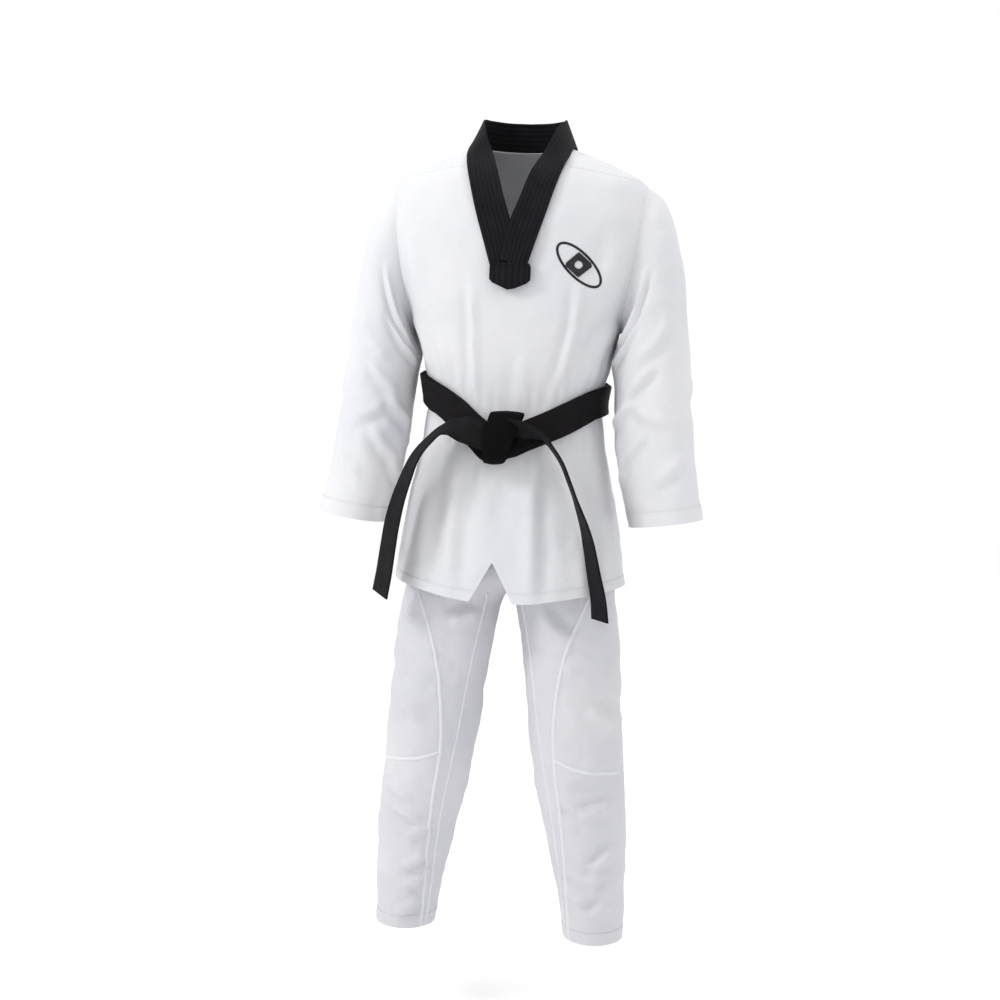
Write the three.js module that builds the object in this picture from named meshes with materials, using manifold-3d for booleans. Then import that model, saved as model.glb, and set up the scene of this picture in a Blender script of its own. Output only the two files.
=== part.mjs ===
// Martial arts uniform: white V-neck jacket with black collar, black belt and white trousers,
// in the shape it takes on a standing wearer. Millimetres, +Z up, the chest faces -Y, the wearer's
// left is +X. The origin is the middle of the neck base.
import * as THREE from 'three';
import { mergeVertices } from 'three/addons/utils/BufferGeometryUtils.js';
import Module from 'manifold-3d';

const wasm = await Module();
wasm.setup();

// ---------------------------------------------------------------- driving dimensions
const CLOTH = 3; // wall of a cloth panel, seam allowances and drape included
const SEAM = 0.6; // free gap left along every seam
const TORSO_POINTS = 36;
const SLEEVE_POINTS = 20;
const LEG_POINTS = 20;

const HEM_Z = -745;
const ARMHOLE = { z: -165, halfDepth: 66, halfHeight: 122 };
const ARMHOLE_GAP = 2.4;
const SIDE_TOP_Z = -284;
const NOTCH = { centre: -10, halfWidth: 37, height: 68 };
const HEM_RISE = { height: 24, from: 40, to: 190, startZ: -560 }; // the hem climbs towards the sides
const JACKET_HEM_BAND = 18;
const CUFF_BAND = 25;
const TROUSER_HEM_BAND = 22;
const WAISTBAND = 40;

const BELT_WIDTH = 50;
const BELT_THICKNESS = 3.4;
const WAIST_Z = -405;
const BELT_BACK = { z: -395.5, tilt: -0.05, slope: 0.1 };
const KNOT = { z: -470, lean: 0.22, nearY: -135 };
const COLLAR_THICKNESS = 2.6;
const EMBLEM = { x: 114, z: -183, radius: 38 };

const THIGH_TOP_Z = -800;
const KNEE_Z = -1028;
const TROUSER_TOP_Z = -432;
const CROTCH_Z = -735;
const TROUSER_HEM_Z = -1345;

// z, half width, front depth, back depth, centre y, squareness
const TORSO = [
  [24, 78, 60, 62, 8, 2.0],
  [8, 118, 74, 78, 6, 2.0],
  [-12, 166, 88, 92, 4, 2.1],
  [-40, 212, 104, 106, 2, 2.3],
  [-90, 221, 118, 118, 0, 2.5],
  [-180, 213, 125, 121, 0, 2.6],
  [-290, 175, 124, 116, 0, 2.6],
  [-350, 160, 118, 110, 0, 2.5],
  [-410, 150, 112, 104, 0, 2.4],
  [-470, 157, 117, 109, 0, 2.4],
  [-600, 181, 133, 125, 0, 2.4],
  [HEM_Z, 200, 143, 136, 0, 2.4],
];

// outer edge x and z, inner edge x and z, centre y, half depth
const SLEEVE = [
  [210, -43, 178, -288, 0, 66],
  [231, -60, 181, -294, -2, 69],
  [252, -95, 178, -304, -4, 72],
  [268, -150, 172, -318, -8, 74],
  [279, -215, 167, -334, -13, 73],
  [287, -285, 167, -352, -18, 72],
  [293, -345, 171, -374, -24, 70],
  [298, -405, 175, -421, -32, 68],
  [305, -470, 180, -487, -42, 65],
  [314, -538, 193, -555, -54, 62],
  [325, -606, 211, -624, -68, 58],
];
const ELBOW_RING = 6;
const LEFT_SLEEVE = { wider: 7, shorter: 11 }; // the left arm is held a little further out

// z, half width, front depth, back depth, centre y, squareness
const HIPS = [
  [TROUSER_TOP_Z, 134, 92, 90, 0, 2.2],
  [-540, 153, 104, 107, 0, 2.3],
  [-620, 168, 107, 115, 0, 2.3],
  [-690, 176, 103, 111, 0, 2.3],
  [CROTCH_Z, 170, 88, 98, 0, 2.3],
];

// z, centre x, half width, half depth, centre y
const LEG = [
  [-640, 86, 79, 88, 2],
  [CROTCH_Z, 101, 86, 95, 0],
  [-830, 112, 85, 92, -2],
  [-940, 123, 82, 88, -5],
  [KNEE_Z, 131, 79, 84, -5],
  [-1100, 140, 76, 81, -2],
  [-1180, 153, 68, 75, 0],
  [-1260, 162, 59, 67, 2],
  [TROUSER_HEM_Z, 169, 52, 59, 0],
];

// seams on the left leg seen from the front: x, z
const PRINCESS_SEAM = [[150, -730], [112, -838], [97, -980], [114, -1130], [136, -1380]];
const INSEAM = [[26, -730], [50, -850], [74, -1000], [98, -1130], [130, -1380]];

// middle line of the belt across the front, a V that the knot pulls down: x, z
const BELT_FRONT = [[152, -403], [93, -441], [34, -469], [5, -482], [-24, -475], [-100, -421], [-152, -387]];

const WHITE = { color: 0xf1f1f3, roughness: 0.85, metalness: 0 };
const BLACK = { color: 0x121215, roughness: 0.8, metalness: 0 };
const ELASTIC = { color: 0xe2e2e0, roughness: 0.75, metalness: 0 };

const uniform = new THREE.Group();
uniform.name = 'martial_arts_uniform';

// ---------------------------------------------------------------- solids
const V = (x, y, z) => new THREE.Vector3(x, y, z);
const mirrorX = (points) => points.map(([x, z]) => [-x, z]);

function toSolid(points, faces) {
  let volume = 0;
  for (const [a, b, c] of faces) {
    volume += points[a].dot(points[b].clone().cross(points[c]));
  }
  const outward = volume > 0 ? faces : faces.map(([a, b, c]) => [a, c, b]);
  return new wasm.Manifold(new wasm.Mesh({
    numProp: 3,
    vertProperties: new Float32Array(points.flatMap((p) => [p.x, p.y, p.z])),
    triVerts: new Uint32Array(outward.flat()),
  }));
}

function fromGeometry(geometry) {
  geometry.deleteAttribute('normal');
  geometry.deleteAttribute('uv');
  const merged = mergeVertices(geometry, 1e-4);
  return new wasm.Manifold(new wasm.Mesh({
    numProp: 3,
    vertProperties: new Float32Array(merged.attributes.position.array),
    triVerts: new Uint32Array(merged.index.array),
  }));
}

// closed body through a list of closed rings; both ends capped, or joined end to end
function ringSolid(rings, closed = false) {
  const count = rings[0].length;
  const points = rings.flat().map((p) => p.clone());
  const faces = [];
  const steps = closed ? rings.length : rings.length - 1;
  for (let i = 0; i < steps; i += 1) {
    for (let j = 0; j < count; j += 1) {
      const next = ((i + 1) % rings.length) * count;
      const a = i * count + j;
      const b = i * count + ((j + 1) % count);
      const c = next + j;
      const d = next + ((j + 1) % count);
      faces.push([a, b, d], [a, d, c]);
    }
  }
  if (!closed) {
    for (const [ring, base, flip] of [[rings[0], 0, true], [rings.at(-1), (rings.length - 1) * count, false]]) {
      const middle = ring.reduce((sum, p) => sum.add(p), V(0, 0, 0)).divideScalar(count);
      const tip = points.push(middle) - 1;
      for (let j = 0; j < count; j += 1) {
        const a = base + j;
        const b = base + ((j + 1) % count);
        faces.push(flip ? [b, a, tip] : [a, b, tip]);
      }
    }
  }
  return toSolid(points, faces);
}

// the same rings moved along the surface normal; a positive lift goes outwards
function offsetRings(rings, lift) {
  return rings.map((ring, i) => ring.map((point, j) => {
    const count = ring.length;
    const around = ring[(j + 1) % count].clone().sub(ring[(j + count - 1) % count]);
    const before = rings[Math.max(i - 1, 0)][j];
    const after = rings[Math.min(i + 1, rings.length - 1)][j];
    const normal = around.cross(after.clone().sub(before)).normalize();
    const middle = ring.reduce((sum, p) => sum.add(p), V(0, 0, 0)).divideScalar(count);
    const outward = normal.dot(point.clone().sub(middle)) > 0 ? 1 : -1;
    return point.clone().addScaledVector(normal, outward * lift);
  }));
}

// one more ring past the chosen end, so that a cut made with the solid runs right through
function extendRings(rings, atStart, atEnd, reach = 6) {
  const beyond = (ring, inner) => ring.map((p, j) => (
    p.clone().add(p.clone().sub(inner[j]).normalize().multiplyScalar(reach))));
  const out = [...rings];
  if (atStart) {
    out.unshift(beyond(rings[0], rings[1]));
  }
  if (atEnd) {
    out.push(beyond(rings.at(-1), rings.at(-2)));
  }
  return out;
}

function tube(rings, wall = CLOTH, reach = 6) {
  return ringSolid(rings).subtract(ringSolid(extendRings(offsetRings(rings, -wall), true, true, reach)));
}

// outline drawn in x and z, run from y0 to y1
function prismY(outline, y0, y1) {
  const shape = new THREE.Shape(outline.map(([x, z]) => new THREE.Vector2(x, z)));
  const geometry = new THREE.ExtrudeGeometry(shape, { depth: y1 - y0, bevelEnabled: false });
  geometry.applyMatrix4(new THREE.Matrix4().makeBasis(V(1, 0, 0), V(0, 0, 1), V(0, -1, 0)));
  geometry.translate(0, y1, 0);
  return fromGeometry(geometry);
}

// outline drawn in y and z, run from x0 to x1
function prismX(outline, x0, x1) {
  const shape = new THREE.Shape(outline.map(([y, z]) => new THREE.Vector2(y, z)));
  const geometry = new THREE.ExtrudeGeometry(shape, { depth: x1 - x0, bevelEnabled: false });
  geometry.applyMatrix4(new THREE.Matrix4().makeBasis(V(0, 1, 0), V(0, 0, 1), V(1, 0, 0)));
  geometry.translate(x0, 0, 0);
  return fromGeometry(geometry);
}

function box(low, high) {
  return prismY([[low[0], low[2]], [high[0], low[2]], [high[0], high[2]], [low[0], high[2]]], low[1], high[1]);
}

// thin slot along a line drawn in x and z
function seamSlot(line, y0, y1) {
  const pieces = [];
  for (let i = 1; i < line.length; i += 1) {
    const from = new THREE.Vector2(...line[i - 1]);
    const to = new THREE.Vector2(...line[i]);
    const along = to.clone().sub(from).normalize();
    const side = new THREE.Vector2(-along.y, along.x).multiplyScalar(SEAM / 2);
    from.addScaledVector(along, -SEAM / 3);
    to.addScaledVector(along, SEAM / 3);
    const corners = [from.clone().add(side), from.clone().sub(side), to.clone().sub(side), to.clone().add(side)];
    pieces.push(prismY(corners.map((c) => [c.x, c.y]), y0, y1));
  }
  return pieces.reduce((whole, piece) => whole.add(piece));
}

// flat strip between two edge lines, the given thickness centred on it
function ribbon(edges, thickness, closed = false) {
  const middle = edges.map(([a, b]) => a.clone().add(b).multiplyScalar(0.5));
  const last = edges.length - 1;
  const rings = edges.map(([a, b], i) => {
    const before = middle[closed ? (i + last) % edges.length : Math.max(i - 1, 0)];
    const after = middle[closed ? (i + 1) % edges.length : Math.min(i + 1, last)];
    const normal = after.clone().sub(before).cross(b.clone().sub(a)).normalize().multiplyScalar(thickness / 2);
    return [a.clone().add(normal), b.clone().add(normal), b.clone().sub(normal), a.clone().sub(normal)];
  });
  return ringSolid(rings, closed);
}

// the reshape function, where given, moves every corner of the finished solid
function add(name, solid, look, reshape = null) {
  const parts = solid.decompose();
  const body = parts.reduce((big, part) => (part.volume() > big.volume() ? part : big));
  const mesh = body.getMesh();
  const geometry = new THREE.BufferGeometry();
  const corners = new THREE.BufferAttribute(new Float32Array(mesh.vertProperties), 3);
  for (let i = 0; reshape && i < corners.count; i += 1) {
    corners.setXYZ(i, ...reshape(V(0, 0, 0).fromBufferAttribute(corners, i)));
  }
  geometry.setAttribute('position', corners);
  geometry.setIndex(new THREE.BufferAttribute(new Uint32Array(mesh.triVerts), 1));
  geometry.computeVertexNormals();
  const node = new THREE.Mesh(geometry, new THREE.MeshStandardMaterial(look));
  node.name = name;
  uniform.add(node);
}

// ---------------------------------------------------------------- surfaces
function between(rows, z) {
  const below = Math.min(Math.max(rows.findIndex((row) => row[0] <= z), 1), rows.length - 1);
  const [a, b] = [rows[below - 1], rows[below]];
  const t = (z - a[0]) / (b[0] - a[0]);
  return a.map((value, k) => value + (b[k] - value) * t);
}

// angle 0 is the wearer's left, -90 degrees the front
function ovalPoint([z, halfWidth, front, back, centreY, square], angle) {
  const c = Math.cos(angle);
  const s = Math.sin(angle);
  const x = halfWidth * Math.sign(c) * Math.abs(c) ** (2 / square);
  const y = centreY + (s < 0 ? front : back) * Math.sign(s) * Math.abs(s) ** (2 / square);
  return V(x, y, z);
}

function ovalRings(rows, count) {
  const angles = Array.from({ length: count }, (_, j) => (j / count) * 2 * Math.PI);
  return rows.map((row) => angles.map((angle) => ovalPoint(row, angle)));
}

const torsoPoint = (z, angle) => ovalPoint(between(TORSO, z), angle);

// the angle at which the torso is met on the way out through a point
function torsoAngle({ x, y, z }) {
  const [, halfWidth, front, back, centreY, square] = between(TORSO, z);
  const depth = y < centreY ? front : back;
  const c = Math.sign(x) * Math.abs(x / halfWidth) ** (square / 2);
  const s = Math.sign(y - centreY) * Math.abs((y - centreY) / depth) ** (square / 2);
  return Math.atan2(s, c);
}

function torsoNormal(z, angle) {
  const around = torsoPoint(z, angle + 0.02).sub(torsoPoint(z, angle - 0.02));
  const up = torsoPoint(z + 2, angle).sub(torsoPoint(z - 2, angle));
  return around.cross(up).normalize();
}

const liftedPoint = (z, angle, lift) => (
  torsoPoint(z, angle).addScaledVector(torsoNormal(z, angle), lift));

// y of the chest in front of the point x, z
function chestY(x, z) {
  const [, halfWidth, front, , centreY, square] = between(TORSO, z);
  return centreY - front * (1 - Math.abs(x / halfWidth) ** square) ** (1 / square);
}

// half width of the torso at height z and depth y
function torsoX(y, z) {
  const [, halfWidth, front, back, centreY, square] = between(TORSO, z);
  const depth = y < centreY ? front : back;
  return halfWidth * (1 - Math.abs((y - centreY) / depth) ** square) ** (1 / square);
}

// ---------------------------------------------------------------- jacket body
const SHOULDER_SEAM = [[30, -12], [112, -22], [262, -46]];

function raiseHem({ x, y, z }) {
  const out = THREE.MathUtils.clamp((Math.abs(x) - HEM_RISE.from) / (HEM_RISE.to - HEM_RISE.from), 0, 1);
  const down = THREE.MathUtils.clamp((HEM_RISE.startZ - z) / (HEM_RISE.startZ - HEM_Z), 0, 1);
  return [x, y, z + HEM_RISE.height * out ** 1.3 * down];
}

function jacketPanels() {
  const notch = [
    [NOTCH.centre - NOTCH.halfWidth, HEM_Z - 2], [NOTCH.centre, HEM_Z + NOTCH.height],
    [NOTCH.centre + NOTCH.halfWidth, HEM_Z - 2], [NOTCH.centre, HEM_Z - 40],
  ];
  const neckSide = [[22, -172], [50, -95], [64, -50], [76, -10], [84, 12], [84, 80]];
  const neck = [[0, -180], ...neckSide, ...mirrorX(neckSide).reverse()];
  const armhole = Array.from({ length: SLEEVE_POINTS }, (_, k) => {
    const angle = (k / SLEEVE_POINTS) * 2 * Math.PI;
    return [ARMHOLE.halfDepth * Math.cos(angle), ARMHOLE.z + ARMHOLE.halfHeight * Math.sin(angle)];
  });
  let shell = tube(ovalRings(TORSO, TORSO_POINTS), CLOTH, 20)
    .subtract(prismY(notch, -300, 0))
    .subtract(prismY(neck, -300, 2));
  for (const side of [-1, 1]) {
    const slots = [
      prismX(armhole, Math.min(side * 140, side * 300), Math.max(side * 140, side * 300)),
      seamSlot(side > 0 ? SHOULDER_SEAM : mirrorX(SHOULDER_SEAM), -300, 0.3),
      box(
        [Math.min(side * 100, side * 300), -SEAM / 2, WAIST_Z],
        [Math.max(side * 100, side * 300), SEAM / 2, SIDE_TOP_Z]),
    ];
    shell = slots.reduce((body, slot) => body.subtract(slot), shell);
  }

  // below the belt the front panel narrows and the back panel wraps forward behind the vent
  const vent = [[147, WAIST_Z], [153, -450], [182, HEM_Z - 20]];
  const ventLine = [[262, WAIST_Z], ...vent];
  const rightVent = mirrorX(vent);
  const top = [...SHOULDER_SEAM].reverse();
  const front = prismY([
    ...rightVent.toReversed(), [-262, WAIST_Z], ...mirrorX(top), ...top.toReversed(), [262, WAIST_Z], ...vent,
  ], -300, 0);
  const ventSlot = seamSlot(ventLine, -300, 0.3).add(seamSlot(mirrorX(ventLine), -300, 0.3));
  const hemLine = HEM_Z + JACKET_HEM_BAND;
  const hemSlot = box([-300, -300, hemLine - SEAM / 2], [300, 300, hemLine + SEAM / 2]);
  const cut = shell.subtract(ventSlot).subtract(hemSlot);
  const above = box([-300, -300, hemLine], [300, 300, 60]);
  const below = box([-300, -300, HEM_Z - 20], [300, 300, hemLine]);
  const frontShell = cut.intersect(front);
  const backShell = cut.subtract(front);
  const frontBand = frontShell.intersect(below);
  const leftOfNotch = box([NOTCH.centre, -300, HEM_Z - 50], [300, 10, 0]);
  add('jacket_front', frontShell.intersect(above), WHITE, raiseHem);
  add('jacket_back', backShell.intersect(above), WHITE, raiseHem);
  add('front_hem_band_left', frontBand.intersect(leftOfNotch), WHITE, raiseHem);
  add('front_hem_band_right', frontBand.subtract(leftOfNotch), WHITE, raiseHem);
  add('back_hem_band', backShell.intersect(below), WHITE, raiseHem);
}

// ---------------------------------------------------------------- sleeves
function sleeveRings(side) {
  const wider = side > 0 ? LEFT_SLEEVE.wider : 0;
  const shorter = side > 0 ? LEFT_SLEEVE.shorter : 0;
  return SLEEVE.map(([baseX, outerZ, innerX, innerZ, centreY, halfDepth], i) => {
    const outerX = baseX + wider;
    const rise = (shorter * Math.max(i - ELBOW_RING, 0)) / (SLEEVE.length - 1 - ELBOW_RING);
    return Array.from({ length: SLEEVE_POINTS }, (_, j) => {
      const angle = (j / SLEEVE_POINTS) * 2 * Math.PI;
      const along = Math.sin(angle);
      const y = centreY + halfDepth * Math.cos(angle);
      const x = (outerX + innerX) / 2 + ((outerX - innerX) / 2) * along;
      const z = (outerZ + innerZ) / 2 + ((outerZ - innerZ) / 2) * along + rise;
      if (i > 0) {
        return V(side * x, y, z);
      }
      const holeY = ARMHOLE.halfDepth * Math.cos(angle);
      const holeZ = ARMHOLE.z + ARMHOLE.halfHeight * along;
      return V(side * (torsoX(holeY, holeZ) + ARMHOLE_GAP), holeY, holeZ);
    });
  });
}

function blendRings(a, b, t) {
  return a.map((p, j) => p.clone().lerp(b[j], t));
}

function sleeve(side, label) {
  const rings = sleeveRings(side);
  const gap = SEAM / 60;
  const last = rings.length - 1;
  const bandStart = 1 - CUFF_BAND / 70;
  const upper = [...rings.slice(0, ELBOW_RING), blendRings(rings[ELBOW_RING - 1], rings[ELBOW_RING], 1 - gap)];
  const lower = [
    blendRings(rings[ELBOW_RING], rings[ELBOW_RING + 1], gap),
    ...rings.slice(ELBOW_RING + 1, last),
    blendRings(rings[last - 1], rings[last], bandStart - gap / 2),
  ];
  const band = [blendRings(rings[last - 1], rings[last], bandStart + gap / 2), rings[last]];
  add(`sleeve_upper_${label}`, tube(upper), WHITE);
  add(`sleeve_lower_${label}`, tube(lower), WHITE);
  add(`sleeve_hem_${label}`, tube(band), WHITE);
}

// ---------------------------------------------------------------- collar
const onChest = (x, z, lift) => V(x, chestY(x, z) - lift, z);

function collarBand(side, lift) {
  const edges = [
    [onChest(31, -190, lift), onChest(-15, -178, lift)],
    [onChest(43, -150, lift), onChest(-3, -122, lift)],
    [onChest(57, -105, 7), onChest(13, -76, 7)],
    [onChest(70, -60, 7.6), onChest(28, -32, 7)],
    [onChest(82, -20, 9), V(44, -66, 8)],
    [V(87, -67, -1), V(54, -58, 30)],
    [V(89, -38, 15), V(61, -42, 50)],
    [V(90, 2, 22), V(70, -2, 69)],
    [V(82, 48, 21), V(62, 38, 74)],
    [V(46, 78, 19), V(36, 60, 74)],
    [V(SEAM / 2, 88, 18), V(SEAM / 2, 68, 74)],
  ];
  const flip = (p) => V(side * p.x, p.y, p.z);
  return ribbon(edges.map(([outer, inner]) => [flip(outer), flip(inner)]), COLLAR_THICKNESS);
}

function chestSkin(lift, thickness) {
  const rows = TORSO.filter((row) => row[0] < 0 && row[0] > -400);
  const rings = ovalRings(rows, TORSO_POINTS);
  return ringSolid(offsetRings(rings, lift + thickness)).subtract(
    ringSolid(extendRings(offsetRings(rings, lift), true, true)));
}

function collar() {
  add('collar_band_left', collarBand(1, 9), BLACK);
  add('collar_band_right', collarBand(-1, 4.8), BLACK);
  const tab = [[-30, -183], [38, -183], [38, -214], [4, -229], [-30, -214]];
  add('collar_tab', chestSkin(11.4, 2.4).intersect(prismY(tab, -300, 0)), BLACK);
  const emblem = Array.from({ length: 16 }, (_, k) => {
    const angle = (k / 16) * 2 * Math.PI;
    return [EMBLEM.x + EMBLEM.radius * Math.cos(angle), EMBLEM.z + EMBLEM.radius * Math.sin(angle)];
  });
  add('chest_emblem', chestSkin(0.5, 1.2).intersect(prismY(emblem, -300, 0)), BLACK);
}

// ---------------------------------------------------------------- belt
function beltHeight(x, y) {
  return y < 0 ? between(BELT_FRONT, x)[1] : BELT_BACK.z + BELT_BACK.tilt * x + BELT_BACK.slope * y;
}

function beltTurn(lift) {
  const count = 56;
  const middle = Array.from({ length: count }, (_, k) => {
    const angle = (k / count) * 2 * Math.PI;
    const { x, y } = torsoPoint(WAIST_Z, angle);
    const z = beltHeight(x, y);
    return { point: torsoPoint(z, angle), normal: torsoNormal(z, angle) };
  });
  const edges = middle.map(({ point, normal }, k) => {
    const along = middle[(k + 1) % count].point.clone().sub(middle[(k + count - 1) % count].point);
    const across = normal.clone().cross(along).normalize();
    return [-1, 1].map((sign) => {
      const edge = point.clone().addScaledVector(across, (sign * BELT_WIDTH) / 2);
      return liftedPoint(edge.z, torsoAngle(edge), lift);
    });
  });
  return ribbon(edges, BELT_THICKNESS, true);
}

// strip that follows a middle line; its width direction mixes the sideways and the depth direction
function tail(line, facing) {
  const middle = line.map((p) => V(...p));
  const edges = middle.map((p, i) => {
    const before = middle[Math.max(i - 1, 0)];
    const after = middle[Math.min(i + 1, middle.length - 1)];
    const along = after.clone().sub(before).normalize();
    const across = V(-along.z, 0, along.x).normalize();
    const share = between(facing, i / (line.length - 1))[1];
    const width = across.multiplyScalar(share).add(V(0, -Math.sqrt(1 - share * share), 0));
    width.addScaledVector(along, -width.dot(along)).normalize().multiplyScalar(BELT_WIDTH / 2);
    return [p.clone().sub(width), p.clone().add(width)];
  });
  return ribbon(edges, BELT_THICKNESS);
}

// how much of the strip's width faces forward, by the share of its length from the knot
const FACING_LEFT = [[1, 0.5], [0.6, 0.45], [0.35, 0.2], [0, 0.25]];
const FACING_RIGHT = [[1, 0.5], [0.4, 0.46], [0.17, 0.32], [0.08, 0.8], [0, 0.9]];

function belt() {
  add('belt_turn_inner', beltTurn(3.8), BLACK);
  add('belt_turn_outer', beltTurn(9.8), BLACK);
  const { z, lean, nearY } = KNOT;
  const outerLoop = prismX([
    [nearY, z - 40], [nearY - 26, z - 42], [nearY - 34, z - 28], [nearY - 34, z + 28],
    [nearY - 26, z + 42], [nearY, z + 40],
  ], -29, 29);
  const slot = box([-60, nearY - 26, z - 37], [60, nearY - 6, z + 37]);
  const leaning = (point) => [point.x + lean * (point.z - z), point.y, point.z];
  add('belt_knot_loop', outerLoop.subtract(slot), BLACK, leaning);
  const bar = prismY([
    [-61, z - 10], [-61, z + 33], [-30, z + 33], [38, z + 29], [74, z + 3], [70, z - 7],
    [50, z - 11], [27, z - 22], [2, z - 34], [-28, z - 34],
  ], nearY - 24, nearY - 8);
  add('belt_knot_bar', bar, BLACK);
  add('belt_tail_left', tail([
    [78, -152, -472], [88, -152, -484], [101, -151, -505], [116, -150, -539], [131, -147, -578],
    [145, -143, -618], [153, -138, -653], [160, -133, -689], [169, -126, -736], [172, -123, -768],
  ], FACING_LEFT), BLACK);
  add('belt_tail_right', tail([
    [-64, -147, -457], [-84, -150, -456], [-100, -150, -461], [-120, -151, -478], [-139, -150, -501],
    [-160, -146, -547], [-181, -138, -616], [-189, -132, -661], [-197, -124, -709], [-204, -119, -745],
  ], FACING_RIGHT), BLACK);
}

// ---------------------------------------------------------------- trousers
function legRings(side) {
  return LEG.map(([z, centreX, halfWidth, halfDepth, centreY]) => (
    Array.from({ length: LEG_POINTS }, (_, j) => {
      const angle = (j / LEG_POINTS) * 2 * Math.PI;
      return V(side * centreX + halfWidth * Math.cos(angle), centreY + halfDepth * Math.sin(angle), z);
    })));
}

function trouserShell() {
  const hips = ovalRings(HIPS, 28);
  const hipsInside = extendRings(offsetRings(hips, -CLOTH), true, false);
  hipsInside.at(-1).forEach((p) => p.setZ(p.z + CLOTH));
  const legs = [-1, 1].map(legRings);
  const outer = legs.reduce((body, rings) => body.add(ringSolid(rings)), ringSolid(hips));
  const inner = legs.reduce((body, rings) => (
    body.add(ringSolid(extendRings(offsetRings(rings, -CLOTH), false, true)))), ringSolid(hipsInside));
  return outer.subtract(inner);
}

function levelSlot(z) {
  return box([-300, -300, z - SEAM / 2], [300, 300, z + SEAM / 2]);
}

function trousers() {
  const bandZ = TROUSER_TOP_Z - WAISTBAND;
  const hemZ = TROUSER_HEM_Z + TROUSER_HEM_BAND;
  const gusset = prismY([[-48, -690], [48, -690], [30, -752], [-30, -752]], -50, 60);
  const gussetRim = prismY([[-49, -689], [49, -689], [31, -753], [-31, -753]], -51, 61).subtract(gusset);
  const levels = [bandZ, THIGH_TOP_Z, KNEE_Z, hemZ].map(levelSlot);
  const shell = levels.reduce((body, slot) => body.subtract(slot), trouserShell());
  add('trouser_waistband', shell.intersect(box([-300, -300, bandZ], [300, 300, TROUSER_TOP_Z + 5])), WHITE);
  const elasticRows = [[TROUSER_TOP_Z - 5, 130, 88, 86, 0, 2.2], [bandZ + 5, 134, 91, 91, 0, 2.2]];
  add('waist_elastic', tube(ovalRings(elasticRows, 28), 1.6), ELASTIC);
  add('crotch_gusset', shell.intersect(gusset), WHITE);

  const body = shell.subtract(gussetRim).subtract(gusset);
  const hipRange = [THIGH_TOP_Z, bandZ];
  for (const [label, side] of [['left', 1], ['right', -1]]) {
    const line = (points) => (side > 0 ? points : mirrorX(points));
    const outside = side * 300;
    const half = (low, high) => box(
      [Math.min(0, outside), -300, low], [Math.max(0, outside), 300, high]);
    const sideSlot = box([-300, -SEAM / 2, -1500], [300, SEAM / 2, -300]);
    const centreSlot = box([-SEAM / 2, -300, CROTCH_Z - 60], [SEAM / 2, 300, -300]);
    const hip = body.subtract(sideSlot).subtract(centreSlot).intersect(half(...hipRange));
    add(`trouser_hip_front_${label}`, hip.intersect(box([-300, -300, -900], [300, 0, -300])), WHITE);
    add(`trouser_hip_back_${label}`, hip.intersect(box([-300, 0, -900], [300, 300, -300])), WHITE);

    const princess = line(PRINCESS_SEAM);
    const inseam = line(INSEAM);
    const slots = seamSlot(princess, -300, 0.3).add(seamSlot(inseam, -300, 0.3));
    const outerSeam = box(
      [Math.min(side * 120, outside), -SEAM / 2, -1500], [Math.max(side * 120, outside), SEAM / 2, -700]);
    const leg = body.subtract(slots).subtract(outerSeam);
    const outerFront = prismY([...princess, [outside, -1380], [outside, -730]], -300, 0);
    const innerFront = prismY([...inseam, ...princess.toReversed()], -300, 0);
    const sections = [['thigh', KNEE_Z, THIGH_TOP_Z], ['shin', hemZ, KNEE_Z]];
    for (const [section, low, high] of sections) {
      const part = leg.intersect(half(low, high));
      add(`trouser_${section}_front_${label}`, part.intersect(outerFront), WHITE);
      add(`trouser_${section}_inner_${label}`, part.intersect(innerFront), WHITE);
      add(`trouser_${section}_back_${label}`, part.subtract(outerFront).subtract(innerFront), WHITE);
    }
    add(`trouser_hem_${label}`, body.intersect(half(TROUSER_HEM_Z - 5, hemZ)), WHITE);
  }
}

jacketPanels();
sleeve(1, 'left');
sleeve(-1, 'right');
collar();
belt();
trousers();

export default uniform;
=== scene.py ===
"""Martial arts uniform: white V-neck jacket with black collar, black belt and white trousers.

Row frame: metres, +Z up, the chest faces -Y, the wearer's left is +X, origin at the neck base.
The tables below are in millimetres.
"""

import math

import bmesh
import bpy
import numpy as np
from mathutils import Matrix, Vector, noise
from mathutils.bvhtree import BVHTree


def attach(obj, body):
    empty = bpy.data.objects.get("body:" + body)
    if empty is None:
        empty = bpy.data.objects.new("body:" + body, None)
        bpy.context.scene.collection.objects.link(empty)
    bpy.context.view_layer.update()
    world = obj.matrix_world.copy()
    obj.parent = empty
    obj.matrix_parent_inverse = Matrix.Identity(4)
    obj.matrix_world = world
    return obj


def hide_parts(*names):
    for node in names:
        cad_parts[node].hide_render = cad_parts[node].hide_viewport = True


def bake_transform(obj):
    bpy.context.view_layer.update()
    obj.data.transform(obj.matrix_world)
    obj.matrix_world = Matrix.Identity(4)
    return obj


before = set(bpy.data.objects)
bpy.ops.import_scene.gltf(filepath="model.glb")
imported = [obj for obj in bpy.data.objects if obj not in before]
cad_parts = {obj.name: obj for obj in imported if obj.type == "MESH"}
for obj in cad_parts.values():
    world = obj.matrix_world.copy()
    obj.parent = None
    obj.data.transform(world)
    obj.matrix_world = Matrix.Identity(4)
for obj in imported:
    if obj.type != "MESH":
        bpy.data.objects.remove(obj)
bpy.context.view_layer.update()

MM = 0.001
SIDES = {"left": 1, "right": -1}

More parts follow.
